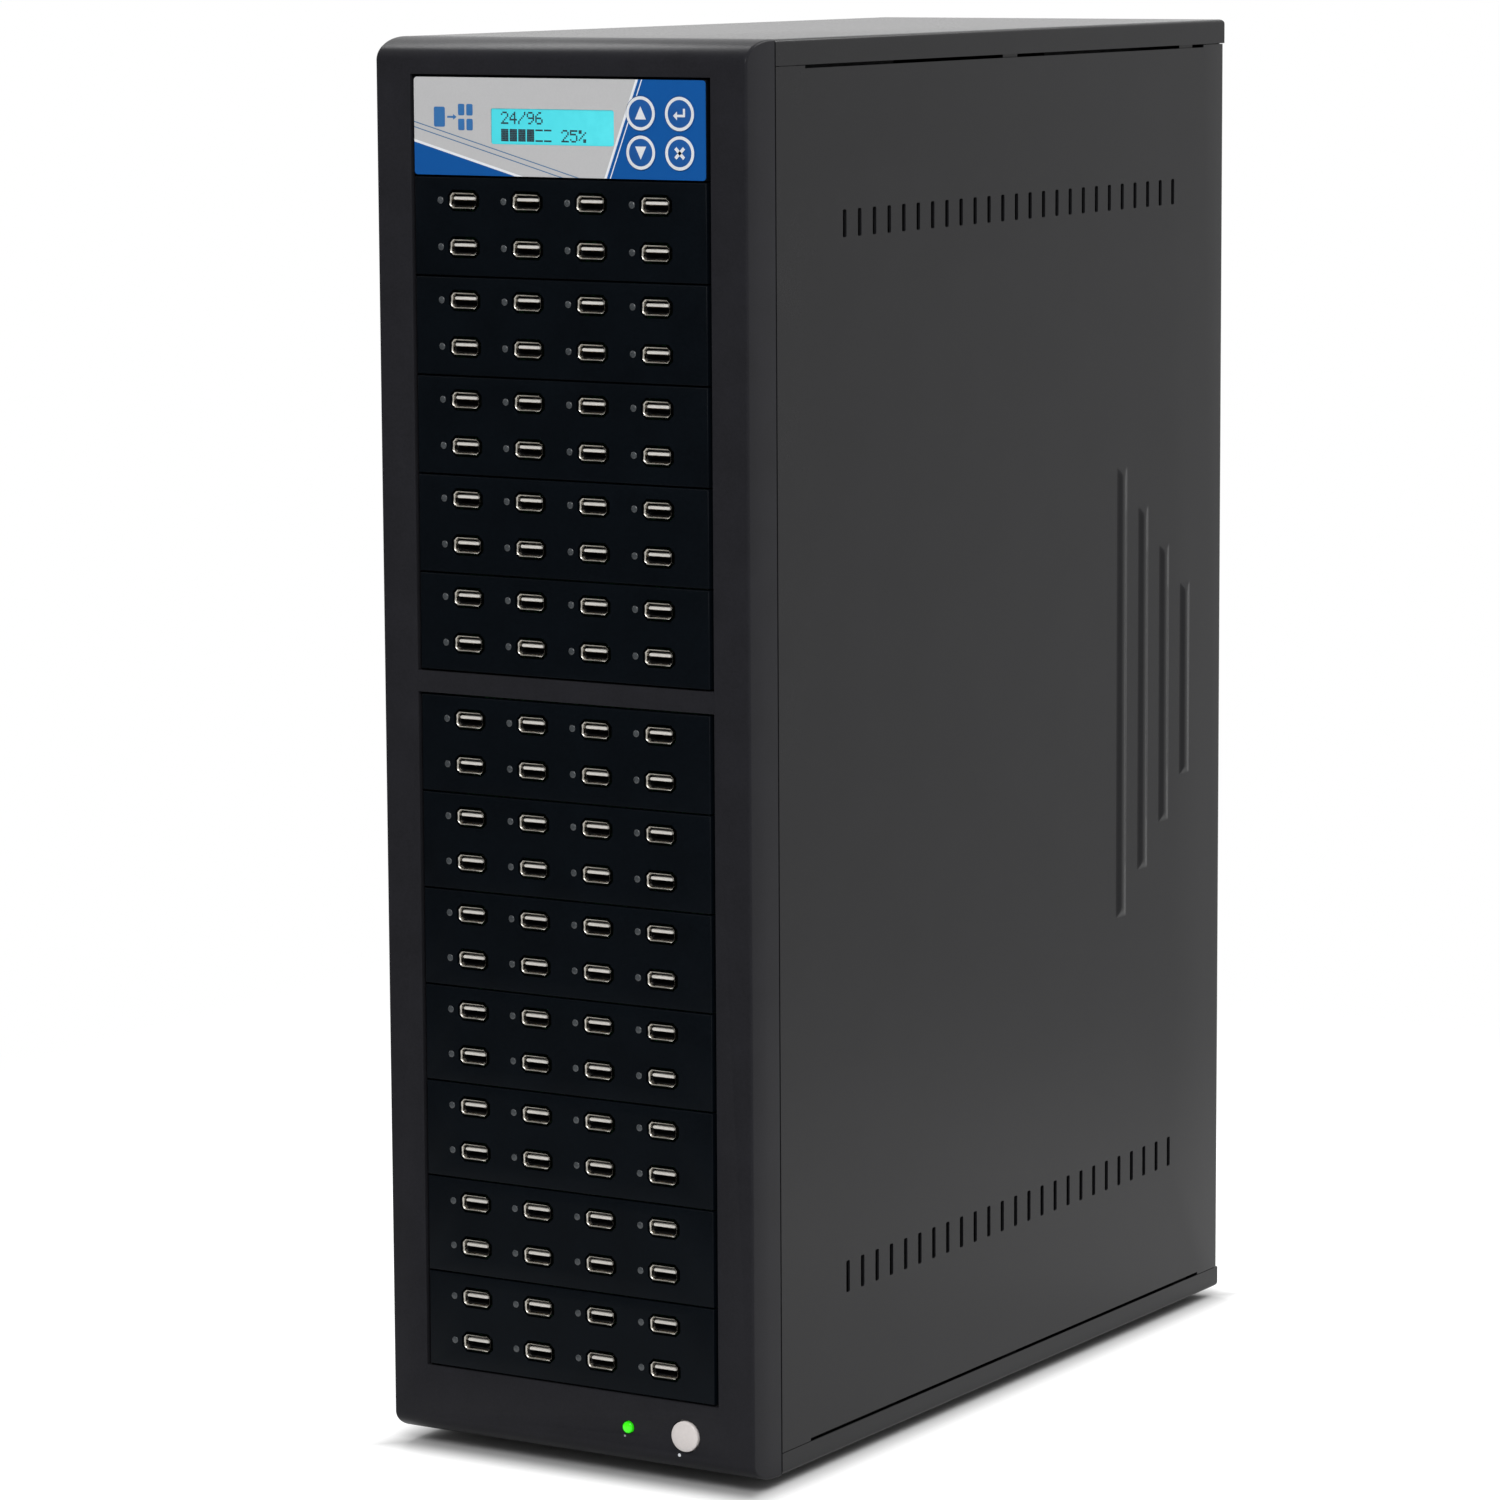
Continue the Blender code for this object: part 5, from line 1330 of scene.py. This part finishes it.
def supply_case():
    half = SUPPLY_SIZE[0] / 2
    top = SUPPLY_FLOOR + SUPPLY_SIZE[2]
    front = REAR_SEAT - SUPPLY_SIZE[1]
    piece = make(block((-half, front, SUPPLY_FLOOR), (half, REAR_SEAT, top)))
    round_edges(piece, SHEET_EDGE_ROUND, 3, lambda a, b: abs(a.y - b.y) > SHEET)
    inner_low = (SHEET - half, front + SHEET, SUPPLY_FLOOR + SHEET)
    cut(piece, block(inner_low, (half - SHEET, REAR_SEAT - SHEET, top - SHEET)))
    depths = (front - CUT_OVERRUN, front + SHEET + CUT_OVERRUN)
    cables = slab(CABLE_HOLE, depths, (0, SUPPLY_MIDDLE), 0.003, 4)
    depths = (REAR_SEAT - SHEET - CUT_OVERRUN, REAR_SEAT + CUT_OVERRUN)
    inlet = (INLET_SIZE[0] - 2 * INLET_RIM, INLET_SIZE[1] - 2 * INLET_RIM)
    cut(piece, cables, slab(inlet, depths, (INLET_X, SUPPLY_MIDDLE)))
    grille(piece, SUPPLY_FAN_X, REAR_SEAT, SUPPLY_MIDDLE, "black_zinc")
    mount(piece, "supply_sheet", "black_zinc", "tower", ["supply_case"])


def screw_template():
    """A pan-head screw with a cross recess, its seat at the origin and its head towards +Y."""
    profile = ((0.0032, 0), (0.0033, 0.0005), (0.0029, 0.0013), (0.002, 0.0018))
    screw = make(turned(profile, 16))
    floor = 0.0008
    top = 0.003
    for arm, wide in ((0.0019, 0.0005), (0.0005, 0.0019)):
        cut(screw, block((-arm, floor, -wide), (arm, top, wide)))
    return screw


def fan_screw_places(x, z):
    """A fan's four screws around its middle."""
    reach = (-FAN_SCREW_REACH, FAN_SCREW_REACH)
    return [(x + aside, z + up) for aside in reach for up in reach]


def rear_screws():
    back = REAR_PANEL_FRONT + SHEET
    places = [(x, back, z) for x, z in fan_screw_places(0, CASE_FAN_HEIGHT)]
    levels = (SUPPLY_MIDDLE - CASE_SCREW_RISE, SUPPLY_MIDDLE + CASE_SCREW_RISE)
    places += [(x, back, z) for x in (-CASE_SCREW_X, CASE_SCREW_X) for z in levels]
    screws = bank(screw_template(), places, "screw")
    mount(screws, "rear_screws", "screw", "tower")
    places = [(x, REAR_SEAT, z) for x, z in fan_screw_places(SUPPLY_FAN_X, SUPPLY_MIDDLE)]
    screws = bank(screw_template(), places, "screw")
    mount(screws, "supply_screws", "screw", "tower")


def inlet_face():
    return REAR_SEAT + SEAT_GAP + INLET_FLANGE


def power_inlet():
    """The mains inlet's moulding with its three pins, and the well of the rocker above it."""
    face = inlet_face()
    centre = (INLET_X, SUPPLY_MIDDLE)
    back = face - INLET_FLANGE
    edge = (INLET_SIZE[0] - 0.0012, INLET_SIZE[1] - 0.0012)
    rim = slab(INLET_SIZE, (back, face - 0.0006), centre, 0.0018, 5)
    piece = make([*rim, plate(edge, face, centre, 0.0014, 5)])
    weld(piece, slab(INLET_BODY, (back - 0.018, back + 0.0004), centre))
    x = INLET_X
    z = SUPPLY_MIDDLE - INLET_SIZE[1] / 2 + INLET_MARGIN + PLUG_HALF_HEIGHT
    left = x - PLUG_HALF_WIDTH
    right = x + PLUG_HALF_WIDTH
    low = z - PLUG_HALF_HEIGHT
    high = z + PLUG_HALF_HEIGHT
    outline = (
        (left, low),
        (right, low),
        (right, high - PLUG_CORNER),
        (right - PLUG_CORNER, high),
        (left + PLUG_CORNER, high),
        (left, high - PLUG_CORNER),
    )
    floor = face - PLUG_DEPTH
    out = face + CUT_OVERRUN
    well = slab(ROCKER_WELL, (face - 0.0085, out), rocker_centre(), 0.0006, 3)
    cut(piece, along_y(outline, floor, out), well)
    mount(piece, "inlet_moulding", "inlet", "tower", ["power_inlet"])
    tip = (PIN_SIZE[0] - 0.0008, PIN_SIZE[1] - 0.0008)
    pins = []
    for aside, up in PIN_PLACES:
        spot = (x + aside, z + up)
        shank = slab(PIN_SIZE, (floor, floor + PIN_LENGTH - 0.0008), spot, 0.0003, 2)
        pins.append([*shank, plate(tip, floor + PIN_LENGTH, spot, 0.0003, 2)])
    mount(make(*pins), "inlet_pins", "screw", "tower")


def rocker_centre():
    return INLET_X, SUPPLY_MIDDLE + INLET_SIZE[1] / 2 - INLET_MARGIN - ROCKER_HALF_HEIGHT


def rocker():
    """The rocker with its line and circle, tipped to one end, on its pivot."""
    half = ROCKER_HALF_HEIGHT
    steps = 6
    outline = []
    for i in range(-steps, steps + 1):
        share = i / steps
        outline.append((0.0042 - 0.0014 * abs(share) ** 1.3, half * share))
    outline += [(0, half), (-0.0018, half * 0.55), (-0.003, 0), (-0.0018, -half * 0.55), (0, -half)]
    tilt = Matrix.Rotation(ROCKER_TILT, 4, "X")
    piece = make(along_x(outline, -ROCKER_HALF_WIDTH, ROCKER_HALF_WIDTH))
    round_edges(piece, 0.0004, 2, lambda a, b: abs(a.x - b.x) < PRINT)
    piece.data.transform(tilt)
    x, z = rocker_centre()
    place = (x, inlet_face() - 0.003, z)
    body = "rocker_switch_body"
    mount(piece, "rocker_cap", "rocker", body, ["rocker_switch"], place)
    line = make(block((-0.0003, 0.0032, 0.003), (0.0003, 0.00375, 0.0058)))
    spot = (0, -0.0045)
    ring = make(rod(0.0014, (0.0032, 0.0037), 24, spot))
    cut(ring, rod(0.0009, (0.003, 0.004), 24, spot))
    marks = join(line, ring)
    marks.data.transform(tilt)
    mount(marks, "rocker_marks", "ink_white", body, place=place)


def fan_frame():
    bore = FAN_BORE_RADIUS
    through = (-FAN_DEPTH - CUT_OVERRUN, CUT_OVERRUN)
    piece = make(slab((FAN_SIZE, FAN_SIZE), (-FAN_DEPTH, 0), (0, 0), 0.005, 6))
    cut(piece, rod(bore, through, 64))
    reach = 2 * bore + 0.0008
    depths = (-FAN_SPOKE, -SEAT_GAP)
    weld(piece, slab((FAN_SPOKE, reach), depths))
    weld(piece, slab((reach, FAN_SPOKE), depths))
    weld(piece, rod(FAN_HUB_RADIUS, depths, 48))
    return cut(piece, *[rod(FAN_SCREW_HOLE_RADIUS, through, 16, place) for place in fan_screw_places(0, 0)])


def fan_blade(front, rear):
    """A blade that curves and twists towards its tip, between the two depths."""
    root = FAN_HUB_RADIUS - 0.0015
    tip = FAN_BORE_RADIUS - 0.0015
    sections = 9
    half_points = 6
    rings = []
    for i in range(sections):
        share = i / (sections - 1)
        reach = root + share * (tip - root)
        pitch = math.radians(46 - 14 * share)
        sweep = math.radians(-4 + 10 * share)
        forth = [(j / half_points, BLADE_HALF_THICKNESS) for j in range(-half_points, half_points + 1)]
        back = [(along, -thick) for along, thick in reversed(forth)]
        ring = []
        for along, thick in forth + back:
            chord = along * BLADE_CHORD / 2
            raised = BLADE_BELLY * (1 - along * along) + thick
            across = chord * math.cos(pitch) - raised * math.sin(pitch)
            deep = chord * math.sin(pitch) + raised * math.cos(pitch)
            turn = sweep + across / max(reach, FAN_HUB_RADIUS)
            ring.append((reach * math.cos(turn), (front + rear) / 2 + deep, reach * math.sin(turn)))
        rings.append(ring)
    return make(rings)


def fan_rotor():
    """A hub with a round lip, and its blades."""
    front = 0.001 - FAN_DEPTH
    rear = -0.0033
    radius = FAN_HUB_RADIUS
    profile = [(radius - 0.0014, front), (radius - 0.0005, front + 0.0004)]
    profile += [(radius, front + 0.0015), (radius, rear)]
    hub = make(turned(profile, 48))
    return grown(RING, hub, "fan", {"Template": fan_blade(front, rear), "Count": BLADES})


def fans():
    places = {
        "case": (0, REAR_SEAT, CASE_FAN_HEIGHT),
        "supply": (SUPPLY_FAN_X, REAR_SEAT - SHEET - SEAT_GAP, SUPPLY_MIDDLE),
    }
    housing = fan_frame()
    impeller = fan_rotor()
    for owner, place in places.items():
        fan = owner + "_fan"
        node = fan + "_frame"
        mount(copied(housing), fan + "_housing", "fan", "tower", [node], place)
        node = fan + "_rotor"
        mount(copied(impeller), fan + "_impeller", "fan", node + "_body", [node], place)
    drop(housing, impeller)


def thumbscrews():
    """Captive screws with knurled heads."""
    head = THUMBSCREW_HEAD
    out = THUMBSCREW_RADIUS
    core = out - 0.00035
    profile = (
        (THUMBSCREW_SHANK_RADIUS - 0.0004, -THUMBSCREW_SHANK),
        (THUMBSCREW_SHANK_RADIUS, 0.0004 - THUMBSCREW_SHANK),
        (THUMBSCREW_SHANK_RADIUS, 0),
        (core - 0.0004, 0),
        (core, 0.0005),
        (core, head - 0.0008),
        (core - 0.0006, head - 0.0002),
        (core - 0.0012, head),
        (core - 0.0018, head - 0.0002),
    )
    first = make(turned(profile, 48))
    cut(first, block((-0.0036, head - 0.0012, -0.0005), (0.0036, head + 0.001, 0.0005)))
    ridge = []
    for y, slope in ((0.0006, 0.0003), (0.001, 0), (head - 0.0014, 0), (head - 0.0009, 0.0003)):
        ridge.append([(core - 0.0002, y, -0.0003), (out - slope, y, 0), (core - 0.0002, y, 0.0003)])
    grown(RING, first, "screw", {"Template": make(ridge), "Count": 32})
    seat = SIDE_REAR + SEAT_GAP
    for level, (x, z) in zip(("lower", "upper"), thumbscrew_places()):
        for side, sign in (("right", 1), ("left", -1)):
            node = f"thumbscrew_{side}_{level}"
            name = f"{side}_{level}_knurled_screw"
            place = (sign * x, seat, z)
            mount(copied(first), name, "screw", node + "_body", [node], place)
    drop(first)


def feet():
    for end in ("front", "rear"):
        for side in ("right", "left"):
            node = f"foot_{end}_{side}"
            low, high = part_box(node)
            centre = (low + high) / 2
            radius = (high.x - low.x) / 2
            height = high.z - low.z
            rings = []
            profile = ((radius * 0.8, 0), (radius * 0.88, 0.0003), (radius * 0.93, 0.001), (radius, height))
            for r, z in profile:
                turns = (2 * math.pi * i / 48 for i in range(48))
                rings.append([(r * math.cos(t), r * math.sin(t), z) for t in turns])
            place = Vector((centre.x, centre.y, low.z)) - SEAT
            mount(make(rings), f"rubber_{node}", "rubber", "tower", [node], place)


def carried_over():
    """The solids that keep their own shape get their real finish."""
    coats = {
        "bay_rail_left": "black_zinc",
        "bay_rail_right": "black_zinc",
        "control_board": "board",
        "switch_board": "board",
    }
    for node, coat in coats.items():
        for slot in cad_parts[node].material_slots:
            slot.material = COATS[coat]


# Studio


def camera():
    """The photograph's viewpoint: in front, to the right, level with the tower's top."""
    yaw = math.radians(-31.64)
    pitch = math.radians(-8.18)
    roll = math.radians(-0.32)
    ahead = Vector((math.sin(yaw) * math.cos(pitch), math.cos(yaw) * math.cos(pitch), math.sin(pitch)))
    right = ahead.cross(Vector((0, 0, 1))).normalized()
    up = right.cross(ahead)
    tilted_right = right * math.cos(roll) + up * math.sin(roll)
    tilted_up = up * math.cos(roll) - right * math.sin(roll)
    lens = bpy.data.cameras.new("camera")
    lens.lens = 142.26
    lens.sensor_width = 36
    holder = new_object(lens, "camera")
    turn = Matrix((tilted_right, tilted_up, -ahead)).transposed().to_4x4()
    holder.matrix_world = Matrix.Translation(SEAT + Vector((1.3637, -2.0638, 0.6623))) @ turn
    bpy.context.scene.camera = holder


def softbox(name, place, aim, size, power):
    lamp = bpy.data.lights.new(name, "AREA")
    lamp.shape = "RECTANGLE"
    lamp.size, lamp.size_y = size
    lamp.energy = power
    holder = new_object(lamp, name)
    direction = Vector(aim) - Vector(place)
    holder.matrix_world = Matrix.Translation(place) @ direction.to_track_quat("-Z", "Y").to_matrix().to_4x4()


def seen_rays(tree, path):
    """One where the camera, a mirror or glass looks, and nought for the light itself."""
    seen = path["Is Camera Ray"]
    for kind in ("Is Glossy Ray", "Is Transmission Ray"):
        seen = add(tree, "ShaderNodeMath", {0: seen, 1: path[kind]}, operation="MAXIMUM")
    return seen


def backdrop(tree, place, path, near, far):
    """White behind the tower and on its right; towards the front left a mirror sees the dim room."""
    values = {0: place, 1: (0.6, 0.8, 0.3)}
    side = add(tree, "ShaderNodeVectorMath", values, operation="DOT_PRODUCT").outputs["Value"]
    values = {"Value": side, "From Min": near, "From Max": far, "To Min": 0.05, "To Max": 1.0}
    mirrored_light = add(tree, "ShaderNodeMapRange", values, interpolation_type="SMOOTHSTEP")
    values = {0: mirrored_light, 1: path["Is Camera Ray"]}
    return add(tree, "ShaderNodeMath", values, operation="MAXIMUM")


def studio_world():
    world = bpy.data.worlds.new("studio")
    bpy.context.scene.world = world
    world.use_nodes = True
    tree = world.node_tree
    tree.nodes.clear()
    path = add(tree, "ShaderNodeLightPath").outputs
    place = add(tree, "ShaderNodeTexCoord").outputs["Generated"]
    white = backdrop(tree, place, path, -0.8, 0.45)
    soft = add(tree, "ShaderNodeBackground", {"Color": linear("ffffff"), "Strength": 0.5})
    seen = add(tree, "ShaderNodeBackground", {"Color": linear("ffffff"), "Strength": white})
    values = {0: seen_rays(tree, path), 1: soft, 2: seen}
    both = add(tree, "ShaderNodeMixShader", values)
    add(tree, "ShaderNodeOutputWorld", {0: both})


def studio_floor():
    """A pale floor that reads white; close to the tower's base it catches the real shadow, and its glow is
    turned down there as a painted shadow.
    """
    material, tree, shader, place = blank("studio_floor")
    tree.nodes.remove(shader)
    path = add(tree, "ShaderNodeLightPath").outputs
    matt = add(tree, "ShaderNodeBsdfDiffuse", {"Color": linear("d8d8d8")})
    spot = add(tree, "ShaderNodeSeparateXYZ", {0: place})
    gaps = []
    for axis, half in (("X", TOWER_WIDTH / 2), ("Y", -SEAT.y)):
        far = add(tree, "ShaderNodeMath", {0: spot.outputs[axis]}, operation="ABSOLUTE")
        gaps.append(add(tree, "ShaderNodeMath", {0: far, 1: half}, operation="SUBTRACT"))
    away = add(tree, "ShaderNodeMath", {0: gaps[0], 1: gaps[1]}, operation="MAXIMUM")
    white = backdrop(tree, place, path, -0.7, 0.1)
    # Close to the footprint the glow fades out: a painted contact shadow, over the real shadow that the
    # diffuse share catches
    values = {"Value": away, "From Min": -0.008, "From Max": 0.018, "To Max": 0.78}
    clear = add(tree, "ShaderNodeMapRange", values, interpolation_type="SMOOTHSTEP")
    lit = add(tree, "ShaderNodeMath", {0: clear, 1: white}, operation="MULTIPLY")
    glow = add(tree, "ShaderNodeEmission", {"Strength": lit})
    shaded = add(tree, "ShaderNodeBsdfDiffuse", {"Color": linear("c4c4c4")})
    near = add(tree, "ShaderNodeAddShader", {0: shaded, 1: glow})
    plain = add(tree, "ShaderNodeEmission", {"Strength": white})
    values = {"Value": away, "From Min": 0.15, "From Max": 0.7}
    fade = add(tree, "ShaderNodeMapRange", values, interpolation_type="SMOOTHSTEP")
    shown = add(tree, "ShaderNodeMixShader", {0: fade, 1: near, 2: plain})
    values = {0: seen_rays(tree, path), 1: matt, 2: shown}
    top = add(tree, "ShaderNodeMixShader", values)
    feed(tree.nodes["Material Output"], {0: top})
    mesh = bpy.data.meshes.new("studio_floor")
    reach = 60
    corners = [(-reach, -reach, 0), (reach, -reach, 0), (reach, reach, 0), (-reach, reach, 0)]
    mesh.from_pydata(corners, [], [(0, 1, 2, 3)])
    mesh.materials.append(material)
    new_object(mesh, "studio_floor")


def studio():
    """White surroundings, a pale floor and four soft lamps around the tower, all above it."""
    bpy.context.scene.view_settings.view_transform = "Standard"
    studio_world()
    studio_floor()
    softbox("key", (1.3, -2.4, 2.2), (0, -0.1, 0.33), (1.5, 1.1), 52)
    softbox("rim", (-1.35, 0.75, 2.35), (0, -0.2, 0.6), (0.9, 0.7), 15)
    softbox("left", (-2.6, -0.3, 1.7), (0, -0.1, 0.3), (1.2, 1.2), 10)
    softbox("rear", (0.9, 1.9, 2.4), (0, 0.1, 0.35), (1.2, 1.2), 24)


BANK = bank_tree()
RING = ring_tree()
PUNCH = punch_tree()
RIBS = rib_tree()
COATS = {
    "bezel": moulded_abs_charcoal(),
    "panel": moulded_abs_blue_black(),
    "paint": powder_coat(),
    "zinc": zinc_steel(),
    "black_zinc": black_zinc(),
    "nickel": nickel_plate(),
    "gilt": gilt_contact(),
    "tongue": tongue_nylon(),
    "board": board_laminate(),
    "lens_smoke": lens_smoke(),
    "lens_lit": lens_lit(),
    "ink_white": print_ink("white_screen_ink", ("d5d8dc", "e2e4e8")),
    "ink_gray": print_ink("gray_screen_ink", ("8b8b90", "97979c")),
    "ink_blue": print_ink("blue_screen_ink", ("2a6aa8", "3472ae")),
    "film": overlay_film(),
    "key": print_ink("blue_key_film", ("004e97", "0056a0")),
    "lcd": lit_display(),
    "lcd_dot": print_ink("lcd_segment", ("2a2632", "332e3c")),
    "button": button_abs(),
    "fan": fan_pbt(),
    "inlet": inlet_nylon(),
    "rocker": rocker_abs(),
    "rubber": foot_rubber(),
    "screw": screw_plate(),
}

camera()
studio()
front_bezel()
bezel_marks()
port_panels()
port_lamps()
port_sockets()
port_circuit_boards()
control_panel()
copy_mark()
keys()
display()
power_button()
power_lamp()
case_trays()
side_panels()
rear_panel()
supply_case()
rear_screws()
power_inlet()
rocker()
fans()
thumbscrews()
feet()
carried_over()
